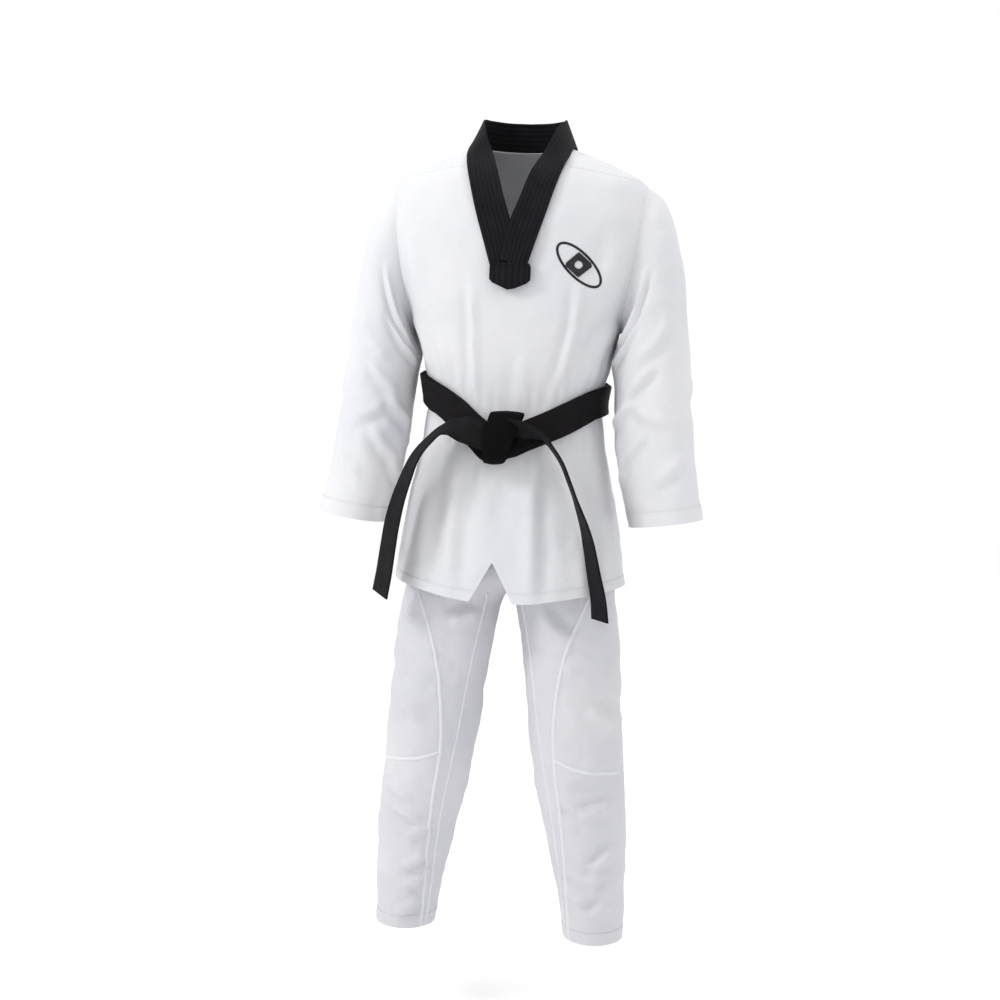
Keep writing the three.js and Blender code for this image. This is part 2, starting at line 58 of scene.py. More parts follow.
# ---- dimensions
CLOTH_THICKNESS = 1.1
HEM_Z = -745
SIDE_TOP_Z = -284
ARMHOLE = {"z": -165, "half_depth": 66, "half_height": 122}
NOTCH = {"centre": -10, "half_width": 37, "height": 68}
HEM_RISE = {"height": 24, "from": 40, "to": 190, "start": -560}
JACKET_HEM_BAND = 18
HEM_STITCH_Z = HEM_Z + JACKET_HEM_BAND - 2
COLLAR_THICKNESS = 2.6
# rows of the sleeve's grid in its turned-up cuff
CUFF_ROWS = 5
TROUSER_HEM_BAND = 22
# how far a hem's second layer stands out from the first
SECOND_LAYER = 0.9
FULL_TURN = 2 * math.pi
# distance between the rows of the cloth
GRID_STEP = 5.5

BELT_WIDTH = 50
BELT_THICKNESS = 3.4
WAIST_Z = -405
BELT_FRONT = [(-152, -387), (-100, -421), (-24, -475), (5, -482), (34, -469), (93, -441), (152, -403)]
BELT_BACK = {"z": -395.5, "tilt": -0.05, "slope": 0.1}

TROUSER_TOP_Z = -432
WAISTBAND_Z = -472
THIGH_TOP_Z = -800
KNEE_Z = -1028
TROUSER_HEM_Z = -1345

# z, centre x, half width, front depth, back depth, centre y, squareness
TORSO = [
    [24, 0, 78, 60, 62, 8, 2.0],
    [8, 0, 118, 74, 78, 6, 2.0],
    [-12, 0, 166, 88, 92, 4, 2.1],
    [-40, 0, 212, 104, 106, 2, 2.3],
    [-90, 0, 221, 118, 118, 0, 2.5],
    [-180, 0, 213, 125, 121, 0, 2.6],
    [-290, 0, 175, 124, 116, 0, 2.6],
    [-350, 0, 160, 118, 110, 0, 2.5],
    [-410, 0, 150, 112, 104, 0, 2.4],
    [-470, 0, 157, 117, 109, 0, 2.4],
    [-600, 0, 181, 133, 125, 0, 2.4],
    [HEM_Z, 0, 200, 143, 136, 0, 2.4],
]

# outer edge x and z, inner edge x and z, centre y, half depth
SLEEVE = [
    [210, -43, 178, -288, 0, 66],
    [231, -60, 181, -294, -2, 69],
    [252, -95, 178, -304, -4, 72],
    [268, -150, 172, -318, -8, 74],
    [279, -215, 167, -334, -13, 73],
    [287, -285, 167, -352, -18, 72],
    [293, -345, 171, -374, -24, 70],
    [298, -405, 175, -421, -32, 68],
    [305, -470, 180, -487, -42, 65],
    [314, -538, 193, -555, -54, 62],
    [325, -606, 211, -624, -68, 58],
]
ELBOW_RING = 6
# how much wider and shorter the left sleeve hangs
LEFT_SLEEVE = (7, 11)
# round a sleeve
MM_PER_DEGREE = 1.35

# the same for the left leg; above the crotch the ring reaches past the middle of the body, where
# both halves meet
TROUSER_LEG = [
    [TROUSER_TOP_Z, 0, 134, 92, 90, 0, 2.2],
    [-540, 0, 153, 104, 107, 0, 2.3],
    [-620, 2, 168, 107, 114, 0, 2.3],
    [-670, 28, 150, 104, 110, 0, 2.2],
    [-705, 64, 118, 100, 105, 0, 2.1],
    [-740, 92, 92, 95, 99, 0, 2.0],
    [-800, 108, 87, 93, 95, -1, 2.0],
    [-870, 116, 84, 91, 91, -3, 2.0],
    [-940, 123, 82, 88, 88, -5, 2.0],
    [KNEE_Z, 131, 79, 84, 84, -5, 2.0],
    [-1100, 140, 76, 81, 81, -2, 2.0],
    [-1180, 153, 68, 75, 75, 0, 2.0],
    [-1260, 162, 59, 67, 67, 2, 2.0],
    [TROUSER_HEM_Z, 169, 52, 59, 59, 0, 2.0],
]

# seams drawn in x and z
SHOULDER_SEAM = [(30, -12), (112, -22), (262, -46)]
VENT = [(147, WAIST_Z), (153, -450), (182, HEM_Z - 20)]
KNEE_SEAM = [(206, -1043), (178, -1038), (152, -1033), (131, -1029), (110, -1022), (99, -1018)]
PRINCESS_SEAM = [(150, -730), (112, -838), (97, -980), (114, -1130), (136, -1380)]
INSEAM = [(26, -730), (50, -850), (74, -1000), (98, -1130), (130, -1380)]
NECK_SIDE = [(22, -172), (50, -95), (64, -50), (76, -10), (84, 12), (84, 80)]


# ---- camera
CAMERA = {
    "azimuth": 8.69, "distance": 2.590, "height": -0.374,
    "pitch": 4.63, "yaw": 0.48, "roll": 1.91, "lens": 53.57,
}


def make_camera():
    azimuth, pitch, yaw, roll = [math.radians(CAMERA[key]) for key in ("azimuth", "pitch", "yaw", "roll")]
    distance = CAMERA["distance"]
    stand = (distance * math.sin(azimuth), -distance * math.cos(azimuth), CAMERA["height"])
    data = bpy.data.cameras.new("camera")
    data.lens = CAMERA["lens"]
    data.sensor_width = 36
    camera = bpy.data.objects.new("camera", data)
    camera.matrix_world = (
        Matrix.Translation(stand) @ Matrix.Rotation(azimuth + yaw, 4, "Z")
        @ Matrix.Rotation(math.pi / 2 - pitch, 4, "X") @ Matrix.Rotation(roll, 4, "Z"))
    bpy.context.scene.collection.objects.link(camera)
    bpy.context.scene.camera = camera


# ---- materials
# by the names used here; those that the frame brings along may have the same names
MATERIALS = {}


def name_of(material):
    return next(name for name, made in MATERIALS.items() if made == material)


class Nodes:
    """Short way to write a node tree."""

    def __init__(self, name):
        self.material = bpy.data.materials.new(name)
        MATERIALS[name] = self.material
        self.material.use_nodes = True
        self.tree = self.material.node_tree
        self.shader = self.tree.nodes["Principled BSDF"]

    def add(self, kind, inputs=None, **settings):
        made = self.tree.nodes.new(kind)
        for key, value in settings.items():
            setattr(made, key, value)
        for key, value in (inputs or {}).items():
            self.put(made.inputs[key], value)
        return made

    def put(self, socket, value):
        if isinstance(value, bpy.types.NodeSocket):
            self.tree.links.new(value, socket)
        else:
            socket.default_value = value

    def math(self, operation, *values):
        made = self.add("ShaderNodeMath", dict(enumerate(values)), operation=operation)
        return made.outputs[0]

    def coordinates(self):
        """u across and v along the cloth, in metres"""
        uv = self.add("ShaderNodeUVMap", uv_map="cloth")
        split = self.add("ShaderNodeSeparateXYZ", {0: uv.outputs[0]})
        return split.outputs[0], split.outputs[1]

    def wave(self, value, pitch):
        return self.math("SINE", self.math("MULTIPLY", value, FULL_TURN / pitch))

    def noise(self, scale, detail=3.0):
        where = self.add("ShaderNodeTexCoord").outputs["Object"]
        return self.add("ShaderNodeTexNoise", {"Vector": where, "Scale": scale, "Detail": detail}).outputs[0]

    def bump(self, height, distance, over=None):
        inputs = {"Height": height, "Distance": distance, "Strength": 1.0}
        if over is not None:
            inputs["Normal"] = over
        return self.add("ShaderNodeBump", inputs).outputs[0]

    def ramp(self, value, colors):
        made = self.add("ShaderNodeValToRGB", {0: value})
        for element, color, position in zip(made.color_ramp.elements, colors, (0.35, 0.65)):
            element.color = (*color, 1)
            element.position = position
        return made.outputs[0]

    def finish(self, color, normal, roughness, sheen, sheen_tint=(1, 1, 1), specular=0.3):
        values = {
            "Base Color": color, "Normal": normal, "Roughness": roughness, "Sheen Weight": sheen,
            "Sheen Roughness": 0.45, "Sheen Tint": (*sheen_tint, 1), "Specular IOR Level": specular,
        }
        for socket, value in values.items():
            self.put(self.shader.inputs[socket], value)
        return self.material


def cotton(name, light, shade, weft, warp, rumpled):
    """White cloth with a rice-grain weave: offset small grains in rows."""
    nodes = Nodes(name)
    u, v = nodes.coordinates()
    grain = nodes.math("MULTIPLY", nodes.wave(u, weft), nodes.wave(v, warp))
    weave = nodes.math("ADD", grain, nodes.noise(420, 2))
    normal = nodes.bump(weave, 0.00011, nodes.bump(nodes.noise(34, 5), rumpled))
    color = nodes.ramp(nodes.noise(5, 4), (shade, light))
    roughness = nodes.math("MULTIPLY_ADD", nodes.noise(60), 0.14, 0.76)
    nodes.finish(color, normal, roughness, 0.08)


def black_band(name, rows, twill, tint, gloss=0.12):
    """Black band: a fine diagonal weave, and stitching in rows along it."""
    nodes = Nodes(name)
    u, v = nodes.coordinates()
    diagonal = nodes.wave(nodes.math("ADD", u, v), twill)
    lines = nodes.math("POWER", nodes.math("ABSOLUTE", nodes.wave(u, rows * 2)), 0.5)
    thread = nodes.math("MULTIPLY", nodes.wave(v, 0.0034), nodes.math("SUBTRACT", 1.0, lines))
    height = nodes.math("MULTIPLY_ADD", diagonal, 0.12, nodes.math("MULTIPLY_ADD", thread, 0.3, lines))
    normal = nodes.bump(height, 0.0006, nodes.bump(nodes.noise(50, 4), 0.0012))
    # colour: random blotches, and darker in the stitched grooves between the rows, which is painted shade in
    # the grooves
    blotches_and_groove_shade = nodes.math("MULTIPLY_ADD", nodes.noise(45, 5), 0.5, nodes.math("MULTIPLY", lines, 0.35))
    color = nodes.ramp(blotches_and_groove_shade, ((0.0016, 0.0015, 0.002), tint))
    roughness = nodes.math("MULTIPLY_ADD", nodes.noise(90), 0.2, 0.6)
    nodes.finish(color, normal, roughness, 0.02, (0.6, 0.55, 0.7), gloss)


def satin_thread(name):
    nodes = Nodes(name)
    threads = nodes.wave(nodes.coordinates()[0], 0.0008)
    normal = nodes.bump(nodes.math("ADD", threads, nodes.noise(300)), 0.00012)
    color = nodes.ramp(nodes.noise(180), ((0.004, 0.004, 0.005), (0.014, 0.013, 0.016)))
    roughness = nodes.math("MULTIPLY_ADD", nodes.noise(60), 0.15, 0.36)
    nodes.finish(color, normal, roughness, 0.1)


def elastic_knit(name):
    nodes = Nodes(name)
    u, v = nodes.coordinates()
    rib_relief_and_shade = nodes.math("ABSOLUTE", nodes.wave(v, 0.006))
    knit = nodes.math("MULTIPLY_ADD", nodes.wave(u, 0.0016), 0.25, rib_relief_and_shade)
    # colour from the ribs: darker in the grooves and lighter on the crests, painted shade
    color = nodes.ramp(rib_relief_and_shade, ((0.6, 0.6, 0.58), (0.78, 0.78, 0.76)))
    roughness = nodes.math("MULTIPLY_ADD", nodes.noise(80), 0.1, 0.7)
    nodes.finish(color, nodes.bump(knit, 0.0007), roughness, 0.1)


def make_materials():
    """All materials; the pieces use them by name."""
    cotton("white_cloth", (0.705, 0.705, 0.725), (0.65, 0.658, 0.69), 0.0021, 0.0014, 0.0016)
    cotton("trouser_cloth", (0.635, 0.633, 0.665), (0.572, 0.575, 0.612), 0.0016, 0.0016, 0.0030)
    black_band("black_cloth", 0.0075, 0.0016, (0.008, 0.0068, 0.009))
    black_band("belt_webbing", 0.0046, 0.0022, (0.008, 0.0064, 0.0076))
    # painted shade: the belt webbing again, tinted darker and with less gloss for the knot, which lies in
    # shadow
    black_band("knot_webbing_painted_shade", 0.0046, 0.0022, (0.004, 0.0034, 0.0038), gloss=0.05)
    satin_thread("emblem_thread")
    elastic_knit("elastic")


# ---- surfaces
def loft(rings, step):
    """Rows about step apart, on smooth curves through the given rings."""
    rings = np.asarray(rings, float)
    gaps = np.linalg.norm(np.diff(rings, axis=0), axis=2).mean(axis=1)
    slope = np.gradient(rings, distance_along(rings), axis=0)
    rows = []
    for i, gap in enumerate(gaps):
        count = max(1, round(gap / step))
        for t in np.arange(count) / count:
            rows.append(
                rings[i] * (1 + 2 * t) * (1 - t) ** 2 + slope[i] * gap * t * (1 - t) ** 2
                + rings[i + 1] * t * t * (3 - 2 * t) + slope[i + 1] * gap * t * t * (t - 1))
    return np.array([*rows, rings[-1]])


def turn(count):
    """Angles all the way round, in equal steps."""
    return np.arange(count) / count * FULL_TURN


def distance_along(points):
    """Distance covered at each point of a line, or at each row of a grid on average."""
    steps = np.linalg.norm(np.diff(points, axis=0), axis=-1)
    return np.concatenate([[0], np.cumsum(steps.mean(axis=1) if steps.ndim > 1 else steps)])


def distance_around(points):
    """The same for the columns of a closed grid, and back to the first."""
    return distance_along(np.concatenate([points, points[:, :1]], axis=1).swapaxes(0, 1))


def along_line(line, step):
    """Points about step apart on a smooth curve through the given ones."""
    return loft(np.asarray(line, float)[:, None, :], step)[:, 0]


def oval(row, angles):
    """Ring of points; angle 0 is the wearer's left, -90 degrees the front."""
    z, centre_x, half_width, front_depth, back_depth, centre_y, squareness = row
    c, s = np.cos(angles), np.sin(angles)
    x = centre_x + half_width * np.sign(c) * np.abs(c) ** (2 / squareness)
    y = centre_y + np.where(s < 0, front_depth, back_depth) * np.sign(s) * np.abs(s) ** (2 / squareness)
    return np.stack([x, y, np.full_like(x, z)], axis=1)


def normals_of(points):
    """Outward unit normals of a closed grid, rows by columns."""
    around = np.roll(points, -1, axis=1) - np.roll(points, 1, axis=1)
    along = np.gradient(points, axis=0)
    normal = np.cross(around, along)
    normal /= np.linalg.norm(normal, axis=2, keepdims=True) + 1e-12
    away = points - points.mean(axis=1, keepdims=True)
    return normal * np.sign((normal * away).sum(axis=(1, 2)))[:, None, None]


def tree_of(points):
    rows, columns = points.shape[:2]
    faces = []
    for i in range(rows - 1):
        here, below = i * columns, (i + 1) * columns
        for j in range(columns):
            k = (j + 1) % columns
            faces.append((here + j, here + k, below + k, below + j))
    return BVHTree.FromPolygons([tuple(p) for p in points.reshape(-1, 3)], faces)


# farther out than any cloth, in millimetres: where rays start
OUTSIDE = 500


class Surface:
    """Closed tube of cloth in millimetres: a grid of points, and a tree to find places on it."""

    def __init__(self, points):
        self.points = points
        self.normals = normals_of(points)
        self.tree = tree_of(points)

    def lengths(self):
        """Distance around and along the cloth at every grid point, for the weave."""
        return np.meshgrid(distance_around(self.points) * MM, distance_along(self.points) * MM)

    def lifted(self, height):
        """The same surface, further out."""
        return Surface(self.points + self.normals * np.reshape(height, (*np.shape(height), 1)))

    def find(self, origins, direction, lift=0.0):
        """Points and outward normals where rays meet the surface; one direction for all, or one for each."""
        origins = np.asarray(origins, float)
        points, normals = [], []
        for origin, way in zip(origins, np.broadcast_to(direction, origins.shape)):
            hit, normal, _, _ = self.tree.ray_cast(Vector(origin), Vector(way))
            if hit is None:
                hit, normal, _, _ = self.tree.find_nearest(Vector(origin))
            if normal.dot(Vector(way)) > 0:
                normal = -normal
            points.append(hit + normal * lift)
            normals.append(normal)
        return np.array(points), np.array(normals)

    def in_front(self, line, lift=0.0):
        """The line, drawn in x and z, laid on the front of the surface."""
        return self.find([(x, -OUTSIDE, z) for x, z in line], (0, 1, 0), lift)

    def at_side(self, side, y, z, lift=0.0):
        """The line, given by its y and z, laid on the left or right side of the surface."""
        return self.find([(side * OUTSIDE, a, b) for a, b in np.broadcast(y, z)], (-side, 0, 0), lift)

    def round_about(self, centre_x, angles, heights, lift=0.0):
        """A line round the surface, seen from an upright axis."""
        away = np.stack([np.cos(angles), np.sin(angles), np.zeros(len(angles))], axis=1)
        origins = away * OUTSIDE
        origins[:, 0] += centre_x
        origins[:, 2] = heights
        return self.find(origins, -away, lift)


def smoothstep(low, high, value):
    t = np.clip((value - low) / (high - low), 0, 1)
    return t * t * (3 - 2 * t)


def polyline_distance(x, z, line, closed=False):
    """Signed distance to a line in the plane (left of it is positive) and the share along it."""
    line = [np.array(p, float) for p in line]
    ends = line[1:] + ([line[0]] if closed else [])
    total = sum(np.linalg.norm(b - a) for a, b in zip(line, ends))
    best = np.full(np.shape(x), 1e9)
    side = np.ones(np.shape(x))
    share = np.zeros(np.shape(x))
    done = 0.0
    for a, b in zip(line, ends):
        length = np.linalg.norm(b - a)
        along = (b - a) / length
        t = np.clip(((x - a[0]) * along[0] + (z - a[1]) * along[1]), 0, length)
        dx, dz = x - a[0] - along[0] * t, z - a[1] - along[1] * t
        distance = np.hypot(dx, dz)
        closer = distance < best
        best = np.where(closer, distance, best)
        side = np.where(closer, np.sign(along[0] * dz - along[1] * dx), side)
        share = np.where(closer, (done + t) / total, share)
        done += length
    return best * side, share


def inside_outline(x, z, outline):
    """Distance to a closed outline, positive inside."""
    distance = np.abs(polyline_distance(x, z, outline, closed=True)[0])
    within = np.zeros(np.shape(x), bool)
    for (ax, az), (bx, bz) in zip(outline, outline[1:] + outline[:1]):
        if az != bz:
            crosses = (az > z) != (bz > z)
            within ^= crosses & (x < (bx - ax) * (z - az) / (bz - az) + ax)
    return np.where(within, distance, -distance)


def fold(x, z, line, width, height):
    """Height of one fold along a line: a rounded ridge with a valley on its left, fading at both ends."""
    distance, share = polyline_distance(x, z, line)
    fade = smoothstep(0, 0.3, share) * smoothstep(1, 0.7, share)
    ridge = np.exp(-(distance / width) ** 2)
    valley = np.exp(-((distance - 1.5 * width) / width) ** 2)
    return height * fade * (ridge - 0.8 * valley)


def fold_heights(x, z, folds, gain=1.0, wider=1.0):
    return sum(fold(x, z, line, width * wider, rise * gain) for line, width, rise in folds)


def unevenness(points, size, height, seed):
    """Slow rise and fall that no hanging cloth is without."""
    flat = points.reshape(-1, 3)
    values = [noise.fractal(Vector(p) / size + Vector((seed, 0, 0)), 1.0, 2.0, 3) for p in flat]
    return height * np.array(values).reshape(points.shape[:2])


# ---- the cloth of each garment part
def belt_line(x, y):
    """Height of the belt's middle line: a V in front, nearly level behind."""
    line = along_line([(a, 0, b) for a, b in BELT_FRONT], 4)
    behind = BELT_BACK["z"] + BELT_BACK["tilt"] * x + BELT_BACK["slope"] * y
    return np.where(y < 0, np.interp(x, line[:, 0], line[:, 2]), behind)


def hem_lift(x):
    """How far the hem climbs at this place, from nothing in front to its full height at the sides."""
    out = np.clip((np.abs(x) - HEM_RISE["from"]) / (HEM_RISE["to"] - HEM_RISE["from"]), 0, 1)
    return HEM_RISE["height"] * out ** 1.3


def raised(x, z):
    """Height at which a place of the straight-hemmed cloth ends up."""
    return z + hem_lift(x) * np.clip((HEM_RISE["start"] - z) / (HEM_RISE["start"] - HEM_Z), 0, 1)


def unraised(x, z):
    """The other way round, for the part of the cloth near the hem."""
    share = hem_lift(x) / (HEM_RISE["start"] - HEM_Z)
    return (z - share * HEM_RISE["start"]) / (1 - share)


# gathers beside the belt: distance from its middle line, spread, height, number round the waist
GATHER = {"away": 42, "spread": 24, "height": 1.3, "count": 44}
CHEST_FOLD_GAIN = 1.4
SLEEVE_FOLD_GAIN = 1.6
LEG_FOLD_GAIN = 1.8
LEG_FOLD_WIDTH = 1.1
# folds of the jacket front: line in x and z, width, height
CHEST_FOLDS = [
    ([(-50, -430), (-55, -335), (-60, -245), (-62, -190)], 8, 3.6),
    ([(82, -405), (97, -339), (110, -286), (115, -235), (118, -200)], 8, 3.8),
    ([(-108, -405), (-112, -350), (-120, -300)], 9, 2.8),
    ([(24, -440), (26, -380), (32, -320)], 12, 2.0),
    ([(128, -395), (140, -340), (158, -300), (190, -262)], 11, 3.8),
    ([(-128, -385), (-142, -340), (-160, -296), (-196, -250)], 11, 3.6),
    ([(150, -240), (172, -180), (184, -120)], 16, 2.8),
    ([(-150, -240), (-170, -180), (-182, -120)], 16, 2.8),
]
SKIRT_FOLDS = [
    ([(-70, -470), (-78, -540), (-82, -640), (-86, -760)], 15, 7.5),
    ([(-128, -450), (-132, -540), (-136, -650), (-140, -760)], 14, 5.0),
    ([(60, -478), (52, -560), (54, -660), (58, -770)], 14, 6.5),
    ([(92, -480), (118, -560), (136, -650), (146, -770)], 14, 7.0),
    ([(136, -440), (156, -540), (170, -640), (178, -760)], 13, 3.6),
    ([(-20, -500), (-26, -580), (-30, -660)], 18, 3.0),
]
BACK_FOLDS = [
    ([(0, -400), (4, -330), (2, -250)], 14, 3.0),
    ([(60, -400), (74, -330), (92, -260), (110, -200)], 12, 3.4),
    ([(-64, -400), (-76, -330), (-94, -260), (-108, -200)], 12, 3.4),
    ([(120, -390), (136, -330), (160, -270)], 12, 3.0),
    ([(-120, -390), (-136, -330), (-160, -270)], 12, 3.0),
    ([(30, -430), (38, -520), (46, -640), (50, -770)], 17, 6.5),
    ([(-40, -430), (-46, -520), (-56, -640), (-60, -770)], 17, 6.5),
    ([(96, -430), (112, -520), (126, -640), (134, -770)], 16, 5.5),
    ([(-100, -430), (-116, -520), (-128, -640), (-136, -770)], 16, 5.5),
]


def armhole_radius(y, z):
    """1 on the armhole seam, more outside it."""
    return np.hypot(y / ARMHOLE["half_depth"], (z - ARMHOLE["z"]) / ARMHOLE["half_height"])


def torso_surface():
    points = loft([oval(row, turn(224)) for row in TORSO], GRID_STEP)
    points[..., 2] = raised(points[..., 0], points[..., 2])
    x, y, z = np.moveaxis(points, 2, 0)
    front = smoothstep(20, -20, y)
    height = front * (fold_heights(x, z, CHEST_FOLDS, CHEST_FOLD_GAIN) + fold_heights(x, z, SKIRT_FOLDS))
    height += (1 - front) * fold_heights(x, z, BACK_FOLDS)
    height += unevenness(points, 95, 2.6, 3.0)
    height += unevenness(points, 38, 0.9, 9.0)
    # gathers close to the belt, and none of it under the belt, the collar and the armhole seams
    from_belt = (z - belt_line(x, y)) * 0.88
    gather = np.exp(-(np.abs(np.abs(from_belt) - GATHER["away"]) / GATHER["spread"]) ** 2)
    around = np.arctan2(y, x)
    height += gather * GATHER["height"] * np.sin(around * GATHER["count"] + 1.6 * np.sin(around * 9))
    height *= smoothstep(20, 46, np.abs(from_belt))
    height -= 1.6 * np.exp(-(from_belt / 26) ** 2)
    height *= np.where(np.abs(x) > 120, smoothstep(1.0, 1.25, armhole_radius(y, z)), 1)
    height *= smoothstep(34, -30, z)
    return Surface(points).lifted(height)


def armhole_line(torso, side, angles, margin=0.0, lift=0.0):
    """The armhole seam, or a line round it, on the cloth of the torso."""
    y = (ARMHOLE["half_depth"] + margin) * np.cos(angles)
    z = ARMHOLE["z"] + (ARMHOLE["half_height"] + margin) * np.sin(angles)
    return torso.at_side(side, y, z, lift)


# folds of the left sleeve: centre as angle in degrees round the sleeve (90 = outer side, 0 = back,
# 180 = front, 270 = inner side) and share along it; lean, length, width, height
SLEEVE_FOLDS = [
    (205, 0.16, 0.9, 130, 11, 4.5),
    (225, 0.28, 0.8, 120, 10, 4.0),
    (170, 0.34, 0.5, 110, 12, 2.6),
    (200, 0.47, 0.7, 110, 10, 3.6),
    (235, 0.58, 0.6, 110, 10, 4.2),
    (180, 0.60, -0.4, 100, 11, 2.8),
    (215, 0.71, 0.7, 110, 10, 3.4),
    (160, 0.80, 0.5, 100, 12, 2.4),
    (250, 0.80, 0.9, 90, 10, 2.6),
    (330, 0.30, -0.8, 120, 11, 3.6),
    (345, 0.50, -0.6, 120, 11, 3.4),
    (320, 0.66, -0.7, 110, 11, 3.6),
    (20, 0.42, -0.4, 120, 13, 2.4),
    (35, 0.74, 0.4, 110, 13, 2.2),
    (100, 0.52, 0.3, 90, 14, 1.8),
]


def sleeve_rings(torso, side):
    """The armhole seam, then the rings of the table; the left sleeve is wider and its cuff higher."""
    wider, shorter = LEFT_SLEEVE if side > 0 else (0, 0)
    angles = turn(112)
    rings = [armhole_line(torso, side, angles, lift=0.4)[0]]
    for i, (outer_x, outer_z, inner_x, inner_z, centre_y, half_depth) in enumerate(SLEEVE[1:], 1):
        rise = shorter * max(i - ELBOW_RING, 0) / (len(SLEEVE) - 1 - ELBOW_RING)
        outer_x += wider
        x = (outer_x + inner_x) / 2 + (outer_x - inner_x) / 2 * np.sin(angles)
        z = (outer_z + inner_z) / 2 + (outer_z - inner_z) / 2 * np.sin(angles) + rise
        rings.append(np.stack([side * x, centre_y + half_depth * np.cos(angles), z], axis=1))
    return rings


def sleeve_surface(torso, side):
    points = loft(sleeve_rings(torso, side), 5)
    rows, columns = points.shape[:2]
    falls = distance_along(points)
    total = falls[-1]
    down, degrees = np.meshgrid(falls, np.degrees(turn(columns)), indexing="ij")
    height = np.zeros((rows, columns))
    for angle, share, lean, length, width, rise in SLEEVE_FOLDS:
        around = ((degrees - angle + 180) % 360 - 180) * MM_PER_DEGREE
        half = np.array([math.cos(math.atan(lean)), math.sin(math.atan(lean))]) * length / 2
        centre = share * total
        line = [(-half[0], centre - half[1]), (0, centre + 4), (half[0], centre + half[1])]
        height += fold(around, down, line, width, rise * SLEEVE_FOLD_GAIN)
    height += unevenness(points, 85, 2.4, 5.0 + side)
    height += unevenness(points, 34, 0.9, 11.0 + side)
    height *= smoothstep(0, 30, down) * (0.35 + 0.65 * smoothstep(total, total - 60, down))
    return Surface(points).lifted(height)


# folds at the front of each trouser leg: distance out from the middle of the body and z, width, height
LEG_FOLDS = {
    "left": [
        ([(60, -752), (92, -790), (130, -815)], 12, 3.6),
        ([(104, -858), (130, -846), (158, -826)], 9, 2.6),
        ([(150, -925), (176, -938), (204, -966)], 13, 4.6),
        ([(186, -1012), (150, -1044), (112, -1058)], 12, 2.6),
        ([(140, -1116), (168, -1106), (206, -1090)], 9, 4.4),
        ([(100, -1120), (124, -1132), (150, -1136)], 10, 3.0),
        ([(160, -1218), (184, -1200), (218, -1160)], 9, 5.2),
        ([(150, -1232), (176, -1226), (206, -1214)], 8, 4.0),
        ([(194, -1268), (206, -1236), (219, -1200)], 9, 4.4),
        ([(112, -1240), (140, -1262), (176, -1272)], 9, 3.0),
        ([(150, -1296), (178, -1288), (206, -1268)], 9, 3.8),
    ],
    "right": [
        ([(36, -768), (60, -774), (90, -794)], 11, 4.4),
        ([(192, -835), (180, -868), (164, -902)], 12, 3.8),
        ([(190, -915), (162, -940), (128, -962)], 12, 4.4),
        ([(76, -868), (100, -862), (122, -860)], 9, 1.6),
        ([(80, -914), (100, -908), (124, -906)], 9, 1.6),
        ([(210, -1084), (176, -1092), (140, -1108)], 10, 4.6),
        ([(188, -1118), (160, -1132), (126, -1148)], 9, 4.8),
        ([(156, -1172), (134, -1162), (108, -1146)], 9, 4.0),
        ([(166, -1232), (140, -1218), (116, -1202)], 9, 4.4),
        ([(166, -1272), (142, -1256), (120, -1230)], 9, 4.0),
        ([(178, -1326), (154, -1308), (128, -1284)], 9, 4.4),
    ],
}
LEG_BACK_FOLDS = [
    ([(40, -760), (90, -800), (150, -812)], 13, 4.0),
    ([(60, -830), (110, -858), (160, -866)], 13, 3.0),
    ([(70, -1000), (120, -1030), (180, -1036)], 12, 4.0),
    ([(76, -1050), (128, -1074), (184, -1078)], 12, 3.6),
    ([(84, -1120), (130, -1150), (182, -1160)], 12, 3.0),
    ([(104, -1200), (146, -1230), (194, -1240)], 11, 3.6),
    ([(118, -1260), (156, -1288), (200, -1296)], 11, 3.6),
]


def leg_surface(side):
    points = loft([oval(row, turn(128)) for row in TROUSER_LEG], GRID_STEP)
    x, y, z = np.moveaxis(points, 2, 0)
    front = smoothstep(14, -14, y)
    folds, seed = (LEG_FOLDS["left"], 21.0) if side > 0 else (LEG_FOLDS["right"], 34.0)
    height = front * fold_heights(x, z, folds, LEG_FOLD_GAIN, LEG_FOLD_WIDTH)
    height += (1 - front) * fold_heights(x, z, LEG_BACK_FOLDS)
    height += unevenness(points, 90, 2.8, seed)
    height += unevenness(points, 36, 1.7, seed + 7)
    height += 1.4 * np.sin(np.arctan2(y, x) * 60) * smoothstep(-560, -480, z)
    # both halves meet in the middle of the body, so nothing moves there
    height *= smoothstep(0, 30, np.abs(x)) * (0.4 + 0.6 * smoothstep(TROUSER_HEM_Z, TROUSER_HEM_Z + 40, z))
    points = points + normals_of(points) * height[..., None]
    if side < 0:
        points = points[:, ::-1] * np.array([-1, 1, 1])
    return Surface(points)


# ---- meshes
def smooth(mesh, sharp=42):
    """Smooth shading, with edges kept where the faces meet at more than so many degrees."""
    mesh.shade_smooth()
    mesh.set_sharp_from_angle(angle=math.radians(sharp))


def finish_mesh(bm, name, material, sharp=42):
    mesh = bpy.data.meshes.new(name)
    bm.normal_update()
    bm.to_mesh(mesh)
    bm.free()
    mesh.materials.append(MATERIALS[material])
    smooth(mesh, sharp)
    piece = bpy.data.objects.new(name, mesh)
    bpy.context.scene.collection.objects.link(piece)
    return piece


def thicken(piece, thickness):
    """Gives the cloth its thickness, inwards."""
    solid = piece.modifiers.new("thickness", "SOLIDIFY")
    solid.thickness = thickness * MM
    solid.offset = -1.0
    graph = bpy.context.evaluated_depsgraph_get()
    mesh = bpy.data.meshes.new_from_object(piece.evaluated_get(graph))
    piece.modifiers.clear()
    piece.data = mesh
    smooth(mesh)
    return piece


